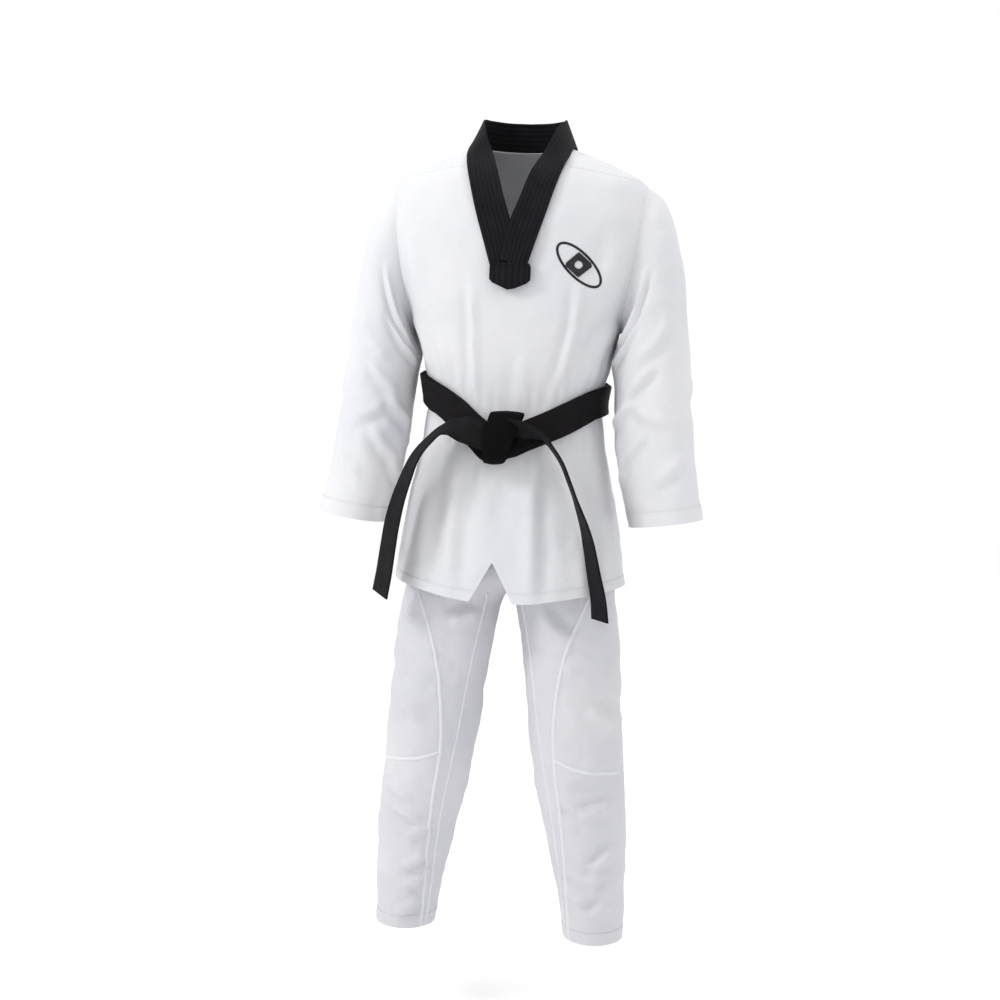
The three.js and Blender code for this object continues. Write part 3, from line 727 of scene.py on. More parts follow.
def trim(bm, cut):
    """Removes the part where cut(x, y, z) in millimetres is negative; the new edge follows the zero line."""
    verts = list(bm.verts)
    places = np.array([v.co for v in verts]).reshape(-1, 3) / MM
    values = cut(places[:, 0], places[:, 1], places[:, 2])
    level = {v: value for v, value in zip(verts, values)}
    made = []
    for edge in list(bm.edges):
        a, b = edge.verts
        if (level[a] > 0) != (level[b] > 0) and min(abs(level[a]), abs(level[b])) > 1e-6:
            share = level[a] / (level[a] - level[b])
            _, vert = bmesh.utils.edge_split(edge, a, share)
            level[vert] = 0.0
            made.append(vert)
    bmesh.ops.connect_verts(bm, verts=made)
    unwanted = [f for f in bm.faces if sum(level[v] for v in f.verts) < 0]
    bmesh.ops.delete(bm, geom=unwanted, context="FACES")


# cloth that a panel starts with beyond each of its cuts
KEPT_AROUND = 14


def grid_bmesh(surface, cuts):
    """The faces of the surface that lie near the part wanted, with the weave's coordinates."""
    points = surface.points
    rows, columns = points.shape[:2]
    around, along = surface.lengths()
    bm = bmesh.new()
    uv = bm.loops.layers.uv.new("cloth")
    wanted = np.ones((rows, columns), bool)
    for cut in cuts:
        wanted &= cut(*np.moveaxis(points, 2, 0)) > -KEPT_AROUND
    verts = {}

    def vert(i, j):
        key = (i, j % columns)
        if key not in verts:
            verts[key] = bm.verts.new(points[key] * MM)
        return verts[key]

    for i in range(rows - 1):
        for j in range(columns):
            corners = [(i, j), (i, j + 1), (i + 1, j + 1), (i + 1, j)]
            if not any(wanted[a, b % columns] for a, b in corners):
                continue
            face = bm.faces.new([vert(a, b) for a, b in corners])
            for loop, (a, b) in zip(face.loops, corners):
                loop[uv].uv = (around[a, b], along[a, b])
    return bm


def face_outwards(bm, surface):
    """Turns all faces so that their normals look out of the tube."""
    bm.normal_update()
    votes = 0
    for face in list(bm.faces)[::7]:
        _, _, index, _ = surface.tree.find_nearest(face.calc_center_median() / MM)
        row, column = divmod(index, surface.points.shape[1])
        votes += 1 if face.normal.dot(Vector(surface.normals[row, column])) > 0 else -1
    if votes < 0:
        bmesh.ops.reverse_faces(bm, faces=list(bm.faces))


def panel(name, surface, cuts, material="white_cloth", thickness=CLOTH_THICKNESS):
    """Cloth panel: the part of the surface that every cut keeps."""
    bm = grid_bmesh(surface, cuts)
    for cut in cuts:
        trim(bm, cut)
    face_outwards(bm, surface)
    bmesh.ops.remove_doubles(bm, verts=bm.verts, dist=0.00002)
    return thicken(finish_mesh(bm, name, material), thickness)


def sweep(name, sections, material, closed=False):
    """Closed skin through rings of points in millimetres."""
    sections = np.asarray(sections, float)
    rows, columns = sections.shape[:2]
    bm = bmesh.new()
    uv = bm.loops.layers.uv.new("cloth")
    verts = [[bm.verts.new(p * MM) for p in ring] for ring in sections]
    around, along = distance_around(sections), distance_along(sections)
    beyond = along[-1] + along[-1] / (rows - 1)
    along = np.append(along, beyond)
    for i in range(rows if closed else rows - 1):
        for j in range(columns):
            k, m = (i + 1) % rows, (j + 1) % columns
            face = bm.faces.new([verts[i][j], verts[i][m], verts[k][m], verts[k][j]])
            for loop, (a, b) in zip(face.loops, [(j, i), (j + 1, i), (j + 1, i + 1), (j, i + 1)]):
                loop[uv].uv = (around[a] * MM, along[b] * MM)
    if not closed:
        for ring in (verts[0], verts[-1][::-1]):
            bm.faces.new(ring)
    bmesh.ops.recalc_face_normals(bm, faces=bm.faces)
    return finish_mesh(bm, name, material)


def strip_sections(middle, across, out, width, thickness, edge=0.35):
    """Rounded flat sections along a line; all but the line may be the same for every point of it.
    The first column is one edge of the strip."""
    middle = np.asarray(middle, float)
    directions = [np.broadcast_to(way, middle.shape) for way in (across, out)]
    halves = [np.broadcast_to(np.asarray(size) / 2, len(middle)) for size in (width, thickness)]
    sections = []
    for centre, a, o, half, flat in zip(middle, *directions, *halves):
        bulge = [(half - flat * edge, 0.8), (half - flat * 1.3, 1), (half * 0.5, 1.04)]
        lower = bulge[:2]
        outline = [
            (-half, 0), *[(-w, h) for w, h in bulge], (0, 1.06), *bulge[::-1],
            (half, 0), *[(w, -h) for w, h in lower], (0, -1), *[(-w, -h) for w, h in lower[::-1]],
        ]
        sections.append([centre + a * w + o * h * flat for w, h in outline])
    return np.array(sections)


def unit(vectors):
    vectors = np.asarray(vectors, float)
    return vectors / np.linalg.norm(vectors, axis=-1, keepdims=True)


def across_of(points, normals):
    return unit(np.cross(np.gradient(points, axis=0), normals))


def welt(points, normals, width, height, material="white_cloth", name="seam"):
    """Low rounded ridge of a sewn seam."""
    side = across_of(points, normals)
    profile = [(-0.5, -0.4), (-0.3, height * 0.75), (0, height), (0.3, height * 0.75), (0.5, -0.4)]
    rows = [[p + s * width * w + n * h for w, h in profile] for p, s, n in zip(points, side, normals)]
    return sweep(name, rows, material)


STITCH = {"pitch": 3.3, "length": 2.5, "width": 0.8, "height": 0.55}


def stitch_row(bm, points, normals):
    """Row of machine stitches along a line, as small raised grains."""
    half_length, half_width = STITCH["length"] / 2, STITCH["width"] / 2
    side = across_of(points, normals)
    at = distance_along(points)
    for centre in np.arange(STITCH["pitch"] / 2, at[-1], STITCH["pitch"]):
        first, last = [np.array([np.interp(d, at, column) for column in points.T])
                       for d in (centre - half_length, centre + half_length)]
        k = min(int(np.searchsorted(at, centre)), len(points) - 1)
        middle = (first + last) / 2
        corners = [
            first, middle - side[k] * half_width, last, middle + side[k] * half_width,
            middle + normals[k] * STITCH["height"]]
        a, b, c, d, top = [bm.verts.new(p * MM) for p in corners]
        for one, other in ((a, b), (b, c), (c, d), (d, a)):
            bm.faces.new((one, other, top))


def stitches(name, rows, material="white_cloth"):
    bm = bmesh.new()
    for points, normals in rows:
        stitch_row(bm, points, normals)
    return finish_mesh(bm, name, material, 180)


def join(name, pieces):
    """One object of several."""
    bm = bmesh.new()
    material = name_of(pieces[0].data.materials[0])
    for piece in pieces:
        bm.from_mesh(piece.data)
        bpy.data.objects.remove(piece)
    return finish_mesh(bm, name, material, 50)


# where cloth passes from one body to the next: the bodies, then x and z of the start on the left side,
# the direction in x and z, and the length of the passage
PASSAGES = {
    "outer": ("jacket", "upper_sleeve_{}", (197, -165), (0.99, -0.13), 75),
    "underarm": ("jacket", "upper_sleeve_{}", (81, -312), (0.25, -0.968), 78),
    "forearm": ("upper_sleeve_{}", "forearm_sleeve_{}", (232, -359.5), (0.231, -0.973), 150),
    "thigh": ("trousers", "thigh_{}", (0, THIGH_TOP_Z), (0, -1), 130),
    "shin": ("thigh_{}", "shin_{}", (0, KNEE_Z), (0, -1), 150),
}


def passage_ends(part, side):
    _, _, (x, z), (way_x, way_z), length = PASSAGES[part]
    return np.array((side * x, 0, z)), np.array((side * (x + length * way_x), 0, z + length * way_z))


def passed(part, side, x, y, z):
    """Share of the passage that lies behind a place: 0 at its start, 1 at its end."""
    start, end = passage_ends(part, side)
    step = end - start
    return ((x - start[0]) * step[0] + (y - start[1]) * step[1] + (z - start[2]) * step[2]) / (step @ step)


def follow(piece, body):
    """The piece rides on a body; a piece in a passage between two bodies only gets its transform baked in."""
    if body in PASSAGES:
        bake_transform(piece)
    else:
        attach(piece, body)


def settle(pieces, body):
    """Ties the pieces to their body; pieces in a passage only get their transform baked in."""
    for piece in pieces:
        follow(piece, body)


# ---- jacket
def mirrored(line, side):
    return [(side * x, z) for x, z in line]


def keep_outside_neck(x, y, z):
    outline = [(0, -180), *NECK_SIDE, *mirrored(NECK_SIDE, -1)[::-1]]
    return np.maximum(-inside_outline(x, z, outline), y - 2)


def keep_outside_armholes(x, y, z):
    return np.maximum((armhole_radius(y, z) - 1) * 80, 120 - np.abs(x))


def keep_outside_notch(x, y, z):
    left, right = NOTCH["centre"] - NOTCH["half_width"], NOTCH["centre"] + NOTCH["half_width"]
    top = (NOTCH["centre"], HEM_Z + NOTCH["height"])
    outline = [(left, HEM_Z), top, (right, HEM_Z), (right, HEM_Z - 60), (left, HEM_Z - 60)]
    return np.maximum(-inside_outline(x, z, outline), y + 20)


def keep_front(x, y, z):
    left = [*SHOULDER_SEAM, (262, WAIST_Z), *VENT]
    return np.minimum(inside_outline(x, z, [*mirrored(left, -1)[::-1], *left]), -y)


def keep_back(x, y, z):
    return -keep_front(x, y, z)


def hem_band(name, surface, keep, low, high, level=lambda x, z: z, material="white_cloth"):
    """Turned-up hem, sewn down: a second layer on the outside of the cloth."""
    cuts = [*keep, lambda x, y, z: high - level(x, z), lambda x, y, z: level(x, z) - low]
    return panel(name, surface.lifted(SECOND_LAYER), cuts, material, 0.8)


def make_jacket_panels(torso):
    around_front = [keep_front, keep_outside_neck, keep_outside_notch, keep_outside_armholes]
    front = panel("jacket_front_panel", torso, around_front)
    back = panel("jacket_back_panel", torso, [keep_back, keep_outside_neck, keep_outside_armholes])
    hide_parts("jacket_front")
    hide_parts("jacket_back")
    top = HEM_Z + JACKET_HEM_BAND
    bands = []
    for label, side in SIDES.items():
        keep = [keep_front, keep_outside_notch, lambda x, y, z, side=side: side * (x - NOTCH["centre"])]
        band = hem_band(f"front_hem_{label}", torso, keep, HEM_Z - 1, top, unraised)
        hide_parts(f"front_hem_band_{label}")
        bands.append(band)
    back_band = hem_band("back_hem", torso, [keep_back], HEM_Z - 1, top, unraised)
    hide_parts("back_hem_band")
    settle([front, back, *bands, back_band], "jacket")


def line_points(line, step=6):
    return [tuple(p) for p in along_line([(x, 0, z) for x, z in line], step)[:, [0, 2]]]


def jacket_ridges(torso, side):
    """The raised seams of one side: shoulder, armhole and side."""
    shoulder = line_points(mirrored([(92, -20), (112, -22), (160, -30), (206, -37)], side))
    round_armhole = np.arange(73) / 72 * FULL_TURN
    return [
        welt(*torso.in_front(shoulder), 5, 1.0),
        welt(*armhole_line(torso, side, round_armhole, margin=1), 6, 1.4),
        welt(*torso.at_side(side, 0, np.arange(SIDE_TOP_Z, WAIST_Z, -6.0)), 5, 1.1),
    ]


def jacket_stitch_rows(torso, side):
    """The stitching of one side: along the vent, the front hem and the notch."""
    vent = line_points(mirrored([(150, -430), (153, -450), (178, HEM_Z + 26)], side))
    hem = NOTCH["centre"] + side * np.arange(NOTCH["half_width"] - 6, 176, 5.0)
    corner = np.array((NOTCH["centre"] + side * NOTCH["half_width"], HEM_Z))
    apex = np.array((NOTCH["centre"], HEM_Z + NOTCH["height"]))
    slope = [corner + (apex - corner) * t for t in np.linspace(0.12, 0.93, 12)]
    return [
        torso.in_front([(x - side * 7, z) for x, z in vent], 0.1),
        torso.in_front([(x, raised(x, HEM_STITCH_Z)) for x in hem], 1.0),
        torso.in_front([(x + side * 7, z + 2) for x, z in slope], 0.3),
    ]


def make_jacket_seams(torso):
    ridges, rows = [], []
    for side in SIDES.values():
        ridges += jacket_ridges(torso, side)
        rows += jacket_stitch_rows(torso, side)
    behind = np.radians(np.arange(4, 177, 2.0))
    heights = raised(200 * np.cos(behind), HEM_STITCH_Z)
    back_row = torso.round_about(0, behind, heights, 1.0)
    pieces = [
        join("jacket_seams", ridges), stitches("jacket_stitching", rows),
        stitches("back_hem_stitching", [back_row])]
    settle(pieces, "jacket")


# ---- sleeves
def make_sleeve(sleeve, elbow_row, label):
    side = SIDES[label]
    upper = Surface(sleeve.points[:elbow_row + 1])
    lower = Surface(sleeve.points[elbow_row:])

    def more_outer(x, y, z):
        outer_share = np.clip(passed("outer", side, x, y, z), -1, 9)
        return 60 * (outer_share - np.clip(passed("underarm", side, x, y, z), -9, 9))

    outer = panel(f"sleeve_upper_{label}_outer", upper, [more_outer])
    under = panel(f"sleeve_upper_{label}_underarm", upper, [lambda x, y, z: -more_outer(x, y, z)])
    forearm = panel(f"sleeve_lower_{label}_cloth", lower, [])
    end = -1 - CUFF_ROWS
    turned_up = Surface(sleeve.points[end:] + sleeve.normals[end:] * SECOND_LAYER)
    cuff = panel(f"sleeve_cuff_{label}", turned_up, [], thickness=0.8)
    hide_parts(f"sleeve_upper_{label}")
    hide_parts(f"sleeve_lower_{label}")
    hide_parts(f"sleeve_hem_{label}")

    columns = sleeve.points.shape[1]
    once_round = np.arange(columns + 1) % columns
    ring, normals = turned_up.points[0, once_round], turned_up.normals[0, once_round]
    cuff_thread = stitches(f"cuff_stitching_{label}", [(ring + normals * 0.3, normals)])
    inner_column = round(columns * 0.75)
    seam_upper, seam_lower = [
        welt(part.points[first:, inner_column], part.normals[first:, inner_column], 5, 1.0,
             name=f"underarm_seam_{name}_{label}")
        for part, first, name in ((upper, 4, "upper"), (lower, 0, "lower"))]

    settle([outer], "outer")
    settle([under, seam_upper], "underarm")
    settle([forearm, cuff, cuff_thread, seam_lower], "forearm")


# ---- collar
def collar_edges(torso, lift):
    """Outer and inner edge of the left band, from the chest round to the middle of the back."""
    def chest(x, z, off):
        return torso.in_front([(x, z)], off)[0][0]

    return [
        (chest(31, -190, lift), chest(-15, -178, lift)),
        (chest(43, -150, lift), chest(-3, -122, lift)),
        (chest(57, -105, 6), chest(13, -76, 6)),
        (chest(70, -60, 6.5), chest(28, -32, 6)),
        (chest(82, -20, 7), np.array((44, -66, 8))),
        (np.array((87, -67, -1)), np.array((54, -58, 30))),
        (np.array((89, -38, 15)), np.array((61, -42, 50))),
        (np.array((90, 2, 22)), np.array((70, -2, 69))),
        (np.array((82, 48, 21)), np.array((62, 38, 74))),
        (np.array((46, 78, 19)), np.array((36, 60, 74))),
        (np.array((0.0, 88, 18)), np.array((0.0, 68, 74))),
    ]


def make_collar_band(torso, label, lift):
    edges = np.array([[outer, inner] for outer, inner in collar_edges(torso, lift)], float)
    edges[..., 0] *= SIDES[label]
    smooth_edges = loft(edges, 6)
    outer, inner = smooth_edges[:, 0], smooth_edges[:, 1]
    middle = (outer + inner) / 2
    across = unit(inner - outer)
    out = unit(np.cross(across, np.gradient(middle, axis=0)))
    out *= np.sign(out[4] @ np.array((0, -1, 0)))
    width = np.linalg.norm(inner - outer, axis=1)
    sections = strip_sections(middle, across, out, width, COLLAR_THICKNESS)
    band = sweep(f"collar_{label}", sections, "black_cloth")
    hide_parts(f"collar_band_{label}")
    settle([band], "jacket")


def make_collar_tab(torso):
    outline = [(-30, -183), (38, -183), (38, -214), (4, -229), (-30, -214)]
    inner = [(-26.5, -187), (34.5, -187), (34.5, -212), (4, -225), (-26.5, -212), (-26.5, -187)]
    over_collar = torso.lifted(13.2)

    def keep_tab(x, y, z):
        return np.minimum(inside_outline(x, z, outline), -y)

    patch = panel("collar_tab_patch", over_collar, [keep_tab], "black_cloth", 2.4)
    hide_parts("collar_tab")
    rows = [over_collar.in_front(np.linspace(a, b, 10), 0.1) for a, b in zip(inner, inner[1:])]
    settle([patch, stitches("tab_stitching", rows, "black_cloth")], "jacket")


# ---- emblem
EMBLEM = {"x": 114, "z": -183, "oval": 46, "squash": 0.42, "tilt": -44, "line": 4.8, "mark": 21, "hole": 8.5}


def emblem_oval():
    """The tilted oval line, in x and z."""
    turns = np.linspace(0, FULL_TURN, 64)
    tilt = math.radians(EMBLEM["tilt"])
    across, up = EMBLEM["oval"] * np.cos(turns), EMBLEM["oval"] * EMBLEM["squash"] * np.sin(turns)
    x = EMBLEM["x"] + across * math.cos(tilt) - up * math.sin(tilt)
    z = EMBLEM["z"] + across * math.sin(tilt) + up * math.cos(tilt)
    return zip(x, z)


def make_emblem(torso):
    """A tilted oval line round a bold square standing on one corner."""
    oval_line = welt(*torso.in_front(emblem_oval(), 0.1), EMBLEM["line"], 1.1, "emblem_thread")

    def in_square(x, z, radius):
        wide, mid, level = radius * 1.12, EMBLEM["x"], EMBLEM["z"]
        corners = [(mid, level + radius), (mid - wide, level), (mid, level - radius), (mid + wide, level)]
        return inside_outline(x, z, corners)

    def keep_mark(x, y, z):
        ring = np.minimum(in_square(x, z, EMBLEM["mark"]), -in_square(x, z, EMBLEM["hole"]))
        return np.minimum(ring, -y)

    mark = panel("mark", torso.lifted(1.6), [keep_mark], "emblem_thread", 1.2)
    emblem = join("emblem_stitching", [oval_line, mark])
    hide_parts("chest_emblem")
    settle([emblem], "jacket")


# ---- belt
def on_torso(points, lift):
    """The points moved onto the smooth torso and out from it, and the outward directions."""
    tall = np.array(TORSO, float)[::-1]

    def row_at(heights):
        return [np.interp(heights, tall[:, 0], column) for column in tall.T]

    def ring_points(angles, heights):
        return oval(row_at(heights), angles)

    x, y, z = points.T
    _, _, half_width, front_depth, back_depth, centre_y, squareness = row_at(z)
    depth = np.where(y < centre_y, front_depth, back_depth)
    cosine = np.sign(x) * np.abs(x / half_width) ** (squareness / 2)
    sine = np.sign(y - centre_y) * np.abs((y - centre_y) / depth) ** (squareness / 2)
    angles = np.arctan2(sine, cosine)
    around = ring_points(angles + 0.02, z) - ring_points(angles - 0.02, z)
    up = ring_points(angles, z + 3) - ring_points(angles, z - 3)
    normals = unit(np.cross(around, up))
    return ring_points(angles, z) + normals * np.reshape(lift, (-1, 1)), normals


def step_round(line):
    """Direction along a closed line at each of its points."""
    return unit(np.roll(line, -1, axis=0) - np.roll(line, 1, axis=0))


def make_belt_turns():
    """Two turns of belt lying on the cloth, one over the other."""
    level = oval([WAIST_Z, 0, 151, 113, 105, 0, 2.4], turn(200))
    level[:, 2] = belt_line(level[:, 0], level[:, 1])
    for name, lift, shift in (("inner", 3.6, 1.5), ("outer", 8.4, 0.0)):
        middle, out = on_torso(level + np.array((0, 0, shift)), lift)
        across = unit(np.cross(out, step_round(middle)))
        sections = strip_sections(middle, across, out, BELT_WIDTH, BELT_THICKNESS)
        heights = ((sections - middle[:, None]) * out[:, None]).sum(axis=2)
        laid, _ = on_torso(sections.reshape(-1, 3), (lift + heights).ravel())
        band = sweep(f"belt_{name}", laid.reshape(sections.shape), "belt_webbing", closed=True)
        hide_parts(f"belt_turn_{name}")
        settle([band], "jacket")


KNOT = {"z": -470, "lean": 0.26, "wrap_x": -1}
# path of the wrap in y and z round the crossing ends, and its width there
KNOT_WRAP = [
    (-138, 30, 52), (-142, 38, 55), (-150, 41, 56), (-159, 38, 56), (-166, 27, 55), (-168, 10, 53),
    (-168, -8, 48), (-166, -22, 42), (-160, -34, 36), (-150, -40, 34), (-142, -38, 36), (-138, -30, 42),
    (-137, 0, 48),
]
# left to right: x, top and bottom height, thickness of the crossed ends inside the wrap
KNOT_CORE = [
    (-66, 6, 0, 4), (-60, 14, -9, 7), (-46, 18, -24, 9), (-32, 22, -37, 11), (-14, 33, -41, 14),
    (4, 34, -38, 15), (26, 31, -24, 14), (44, 25, -14, 12), (60, 15, -9, 9), (73, 5, -5, 5),
]
# how far the middle of the wrap bulges out
WRAP_CROWN = 2.4


def knot_wrap_sections():
    wrap = np.array(KNOT_WRAP, float)
    y, z, widths = loft(np.concatenate([wrap, wrap[:1]])[:, None, :], 3)[:-1, 0].T
    middle = np.stack([KNOT["wrap_x"] + z * KNOT["lean"], y + 1.7, z + KNOT["z"]], axis=1)
    across = np.array((1.0, 0, 0))
    out = unit(np.cross(step_round(middle), across))
    out *= np.sign(((middle - middle.mean(axis=0)) * out).sum(axis=1))[:, None]
    sections = strip_sections(middle, across, out, widths, BELT_THICKNESS)
    reach = (sections - middle[:, None]) @ across / (widths[:, None] / 2)
    return sections + out[:, None] * (WRAP_CROWN * (1 - reach ** 2))[..., None]


def knot_bar_sections():
    xs, *_, thicknesses = zip(*KNOT_CORE)
    x, top, bottom = along_line([row[:3] for row in KNOT_CORE], 3).T
    thickness = np.interp(x, xs, thicknesses)
    crease = 1.2 * np.sin(x * 0.35) * thickness / 14
    middle = np.stack([x, crease - 149, KNOT["z"] + (top + bottom) / 2], axis=1)
    return strip_sections(middle, (0, 0, 1), (0, -1, 0), top - bottom, thickness, 0.6)


def make_knot():
    # the knot's darker webbing is painted shade
    loop = sweep("knot_wrap", knot_wrap_sections(), "knot_webbing_painted_shade", closed=True)
    bar = sweep("knot_bar", knot_bar_sections(), "knot_webbing_painted_shade")
    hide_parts("belt_knot_loop")
    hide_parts("belt_knot_bar")
    settle([loop, bar], "jacket")


# middle line of each end, and how much of its width faces forward at shares of its length
TAILS = {
    "left": {
        "line": [(10, -154, -459), (34, -158.5, -461), (56, -158, -464), (70, -155, -468), (78, -153, -474),
                 (88, -152, -486), (101, -151, -505), (116, -150, -539), (131, -147, -578), (145, -143, -618),
                 (153, -138, -653), (160, -133, -689), (169, -126, -736), (172, -123, -767)],
        "facing": [(0, 0.9), (0.08, 0.8), (0.16, 0.4), (0.2, 0.22), (0.45, 0.22), (0.66, 0.46), (1, 0.62)],
    },
    "right": {
        "line": [(-14, -153, -470), (-34, -158.5, -465), (-52, -159, -459), (-66, -156, -456),
                 (-84, -152.5, -454), (-100, -150, -460), (-120, -151, -478), (-139, -150, -501),
                 (-160, -146, -547), (-181, -138, -616), (-189, -132, -661), (-197, -124, -709),
                 (-204, -119, -744)],
        "facing": [(0, 0.95), (0.12, 0.88), (0.18, 0.5), (0.22, 0.3), (0.32, 0.36), (0.45, 0.52),
                   (0.66, 0.66), (1, 0.7)],
    },
}


def make_tail(label):
    shape = TAILS[label]
    middle = along_line(shape["line"], 5)
    at = distance_along(middle)
    share = np.interp(at / at[-1], *zip(*shape["facing"]))[:, None]
    direction = unit(np.gradient(middle, axis=0))
    level = unit(direction[:, [2, 1, 0]] * np.array((-1, 0, 1)))
    across = level * share - np.sqrt(1 - share ** 2) * np.array((0, 1, 0))
    across = unit(across - direction * (across * direction).sum(axis=1, keepdims=True))
    sections = strip_sections(middle, across, np.cross(direction, across), BELT_WIDTH, BELT_THICKNESS)
    tail = sweep(f"belt_end_strip_{label}", sections, "belt_webbing")
    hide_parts(f"belt_tail_{label}")
    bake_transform(tail)


# ---- trousers
def keep_above(level):
    return lambda x, y, z: z - level


def keep_below(level):
    return lambda x, y, z: level - z


def own_half(side):
    return lambda x, y, z: side * x


GUSSET = [(-48, -690), (48, -690), (30, -752), (-30, -752)]


def keep_gusset(x, y, z):
    return np.minimum(inside_outline(x, z, GUSSET), np.minimum(y + 50, 60 - y))


def both_halves(name, legs, keep, thickness=CLOTH_THICKNESS):
    """A panel that crosses the middle of the body, from the cloth of both legs."""
    return join(name, [
        panel("half", legs[label], [own_half(side), keep], "trouser_cloth", thickness)
        for label, side in SIDES.items()])


def make_trouser_top(legs):
    band = both_halves("waistband", legs, keep_above(WAISTBAND_Z), 2.0)
    gusset = both_halves("gusset", legs, keep_gusset)
    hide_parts("trouser_waistband")
    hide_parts("crotch_gusset")
    pieces = [band, gusset]
    for label, side in SIDES.items():
        for face, sign in (("front", -1), ("back", 1)):
            cuts = [
                own_half(side), keep_below(WAISTBAND_Z), keep_above(THIGH_TOP_Z),
                lambda x, y, z, sign=sign: sign * y, lambda x, y, z: -keep_gusset(x, y, z)]
            hip = panel(f"hip_{face}_{label}", legs[label], cuts, "trouser_cloth")
            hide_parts(f"trouser_hip_{face}_{label}")
            pieces.append(hip)
    settle(pieces, "trousers")


def make_elastic():
    rings = [oval(row, turn(96)) for row in (
        [TROUSER_TOP_Z - 5, 0, 131, 89, 87, 0, 2.2], [WAISTBAND_Z + 5, 0, 135, 92, 92, 0, 2.2])]
    elastic = panel("elastic_band", Surface(loft(rings, 4)), [], "elastic", 1.5)
    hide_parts("waist_elastic")
    settle([elastic], "trousers")


def leg_regions(side):
    """The three panels of a leg, as cuts: outer front, inner front and back."""
    princess = mirrored(PRINCESS_SEAM, side)
    inseam = mirrored(INSEAM, side)
    outer = [*princess, (side * 300, -1380), (side * 300, -730)]
    inner = [*inseam, *princess[::-1]]

    def front(x, y, z):
        return np.minimum(inside_outline(x, z, outer), -y)

    def inside(x, y, z):
        return np.minimum(inside_outline(x, z, inner), -y)

    def back(x, y, z):
        return -np.maximum(front(x, y, z), inside(x, y, z))

    return {"front": front, "inner": inside, "back": back}


# width of the wide leg seams, and height of the seams on the front of the legs, in millimetres
WIDE_SEAM = 7
SEAM_HEIGHT = 1.9
# from the middle of a wide seam to the stitching along it
BESIDE_SEAM = 5.5
LEG_SECTIONS = {"thigh": (THIGH_TOP_Z, KNEE_Z), "shin": (KNEE_Z, TROUSER_HEM_Z)}


def make_leg(leg, label):
    side = SIDES[label]
    for section, (high, low) in LEG_SECTIONS.items():
        for face, keep in leg_regions(side).items():
            cuts = [own_half(side), keep_below(high), keep_above(low), keep]
            piece = panel(f"{section}_{face}_{label}", leg, cuts, "trouser_cloth")
            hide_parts(f"trouser_{section}_{face}_{label}")
            settle([piece], section)
    hem_top = TROUSER_HEM_Z + TROUSER_HEM_BAND
    hem = hem_band(f"trouser_hem_band_{label}", leg, [], TROUSER_HEM_Z - 1, hem_top, material="trouser_cloth")
    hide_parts(f"trouser_hem_{label}")
    settle([hem], "shin")
    make_leg_seams(leg, label)


def falling(high, low):
    """Heights from high down to low."""
    return np.append(np.arange(high, low, -6.0), low)


def on_seam(seam, side, heights, shift=0.0):
    """Points of a front leg seam at the given heights, in x and z, moved sideways by the shift."""
    curve = along_line([(x, 0, z) for x, z in seam], 4)[::-1]
    return [(side * (x + shift), z) for x, z in zip(np.interp(heights, curve[:, 2], curve[:, 0]), heights)]


def front_ridges(leg, side, heights):
    return [
        welt(*leg.in_front(on_seam(seam, side, heights)), width, SEAM_HEIGHT)
        for seam, width in ((PRINCESS_SEAM, WIDE_SEAM), (INSEAM, 5))]


def side_ridge(leg, side, heights):
    return welt(*leg.at_side(side, 0, heights), 5, 1.2)


def make_leg_seams(leg, label):
    side = SIDES[label]
    bottom = TROUSER_HEM_Z + 2
    for section, (high, low) in LEG_SECTIONS.items():
        heights = falling(high, max(low, bottom))
        ridges = [*front_ridges(leg, side, heights), side_ridge(leg, side, heights)]
        rows = [leg.in_front(on_seam(PRINCESS_SEAM, side, heights, shift), 0.1)
                for shift in (-BESIDE_SEAM, BESIDE_SEAM)]
        if section == "shin":
            knee = mirrored(line_points(KNEE_SEAM), side)
            ridges.append(welt(*leg.in_front(knee), WIDE_SEAM, SEAM_HEIGHT))
            rows.append(leg.in_front([(x, z + BESIDE_SEAM) for x, z in knee], 0.1))
            all_round = np.radians(np.arange(0, 361, 6))
            rows.append(leg.round_about(side * 169, all_round, bottom + 19, 1.0))
        seams = join(f"{section}_seams_{label}", ridges)
        settle([seams, stitches(f"{section}_stitching_{label}", rows)], section)


def make_hip_seams(legs):
    """Side seams, the upper ends of the leg seams, and the seam in the middle of the body."""
    ridges = []
    for label, side in SIDES.items():
        ridges.append(side_ridge(legs[label], side, falling(WAISTBAND_Z, THIGH_TOP_Z)))
        ridges += front_ridges(legs[label], side, np.linspace(-740, THIGH_TOP_Z, 5))
    heights = np.arange(WAISTBAND_Z, -690, -6.0)
    for sign in (-1, 1):
        points, normals = legs["left"].find([(0.5, sign * OUTSIDE, z) for z in heights], (0, -sign, 0))
        points[:, 0] = 0
        ridges.append(welt(points, normals, 5, 1.1))
    settle([join("hip_seams", ridges)], "trousers")


# ---- stage
FLOOR_Z = -1.50
FLOOR_SIZE = 9


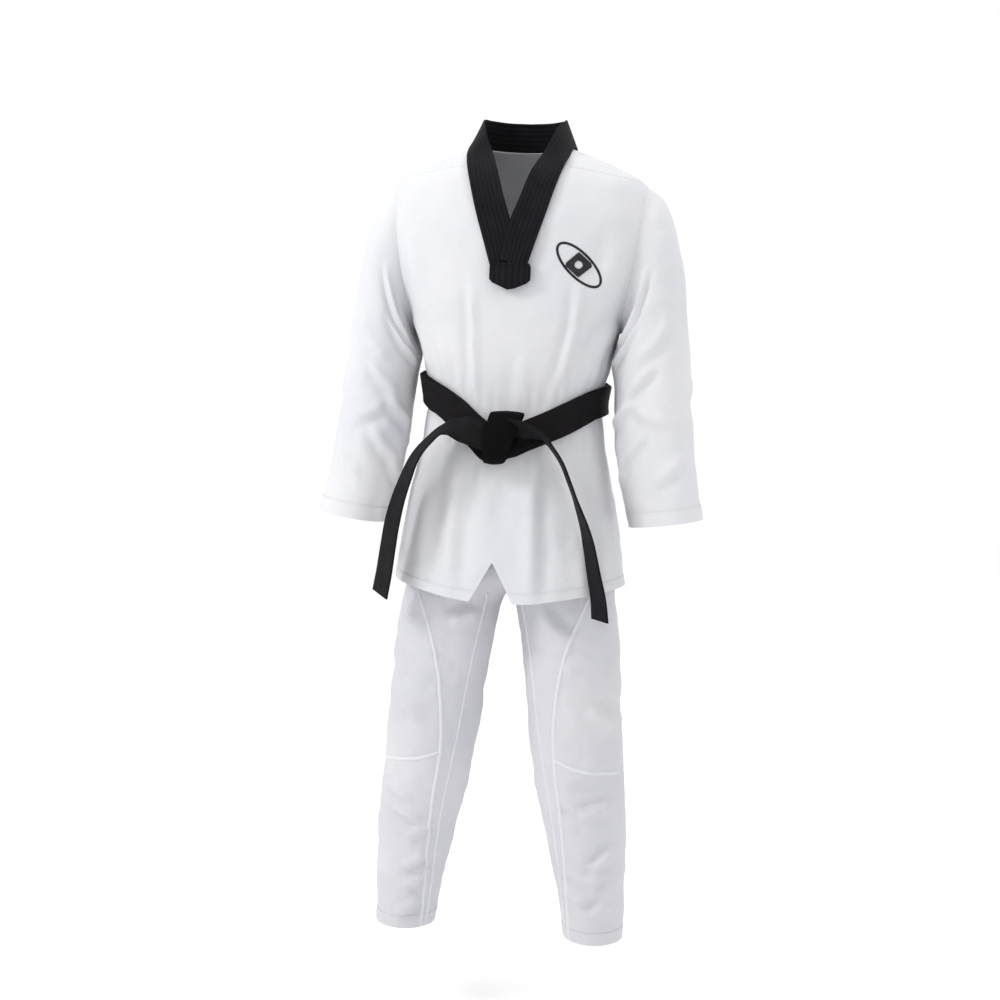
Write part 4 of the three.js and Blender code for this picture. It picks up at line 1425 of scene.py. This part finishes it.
def make_stage():
    mesh = bpy.data.meshes.new("floor")
    corners = [(x * FLOOR_SIZE, y * FLOOR_SIZE, FLOOR_Z) for x, y in ((-1, -1), (1, -1), (1, 1), (-1, 1))]
    mesh.from_pydata(corners, [], [(0, 1, 2, 3)])
    floor = bpy.data.objects.new("floor", mesh)
    nodes = Nodes("floor_paint")
    color = nodes.ramp(nodes.noise(0.6), ((0.985, 0.985, 0.987), (0.995, 0.995, 0.995)))
    mesh.materials.append(nodes.finish(color, nodes.bump(nodes.noise(3), 0.001), 0.8, 0.0))
    bpy.context.scene.collection.objects.link(floor)


def area_light(name, place, width, power):
    """Square light turned to the middle of the set."""
    data = bpy.data.lights.new(name, "AREA")
    data.shape = "RECTANGLE"
    data.size = data.size_y = width
    data.energy = power
    light = bpy.data.objects.new(name, data)
    light.location = place
    light.rotation_euler = (Vector((0, 0, -0.6)) - Vector(place)).to_track_quat("-Z", "Y").to_euler()
    bpy.context.scene.collection.objects.link(light)


def make_lights():
    world = bpy.data.worlds.new("studio")
    world.use_nodes = True
    background = world.node_tree.nodes["Background"]
    background.inputs["Color"].default_value = (1, 1, 1, 1)
    background.inputs["Strength"].default_value = 1
    bpy.context.scene.world = world
    area_light("key", (-2.4, -1.6, 1.4), 0.8, 42)
    area_light("top", (0.8, 0.2, 2.4), 1.2, 20)
    bpy.context.scene.view_settings.view_transform = "Standard"


# ---- build
def elbow_row_of(sleeve):
    """The grid row that lies on the elbow ring."""
    outer_x, outer_z, inner_x, inner_z, centre_y, _ = SLEEVE[ELBOW_RING]
    target = np.array(((outer_x + inner_x) / 2, centre_y, (outer_z + inner_z) / 2))
    centres = sleeve.points.mean(axis=1)
    centres[:, 0] = np.abs(centres[:, 0])
    return int(np.argmin(np.linalg.norm(centres - target, axis=1)))


def build():
    make_camera()
    make_lights()
    make_stage()
    make_materials()
    torso = torso_surface()
    make_belt_turns()
    make_knot()
    make_jacket_panels(torso)
    make_jacket_seams(torso)
    make_collar_band(torso, "left", 9)
    make_collar_band(torso, "right", 4.8)
    make_collar_tab(torso)
    make_emblem(torso)
    for label, side in SIDES.items():
        sleeve = sleeve_surface(torso, side)
        make_sleeve(sleeve, elbow_row_of(sleeve), label)
        make_tail(label)
    legs = {label: leg_surface(side) for label, side in SIDES.items()}
    make_trouser_top(legs)
    make_elastic()
    for label, leg in legs.items():
        make_leg(leg, label)
    make_hip_seams(legs)


build()
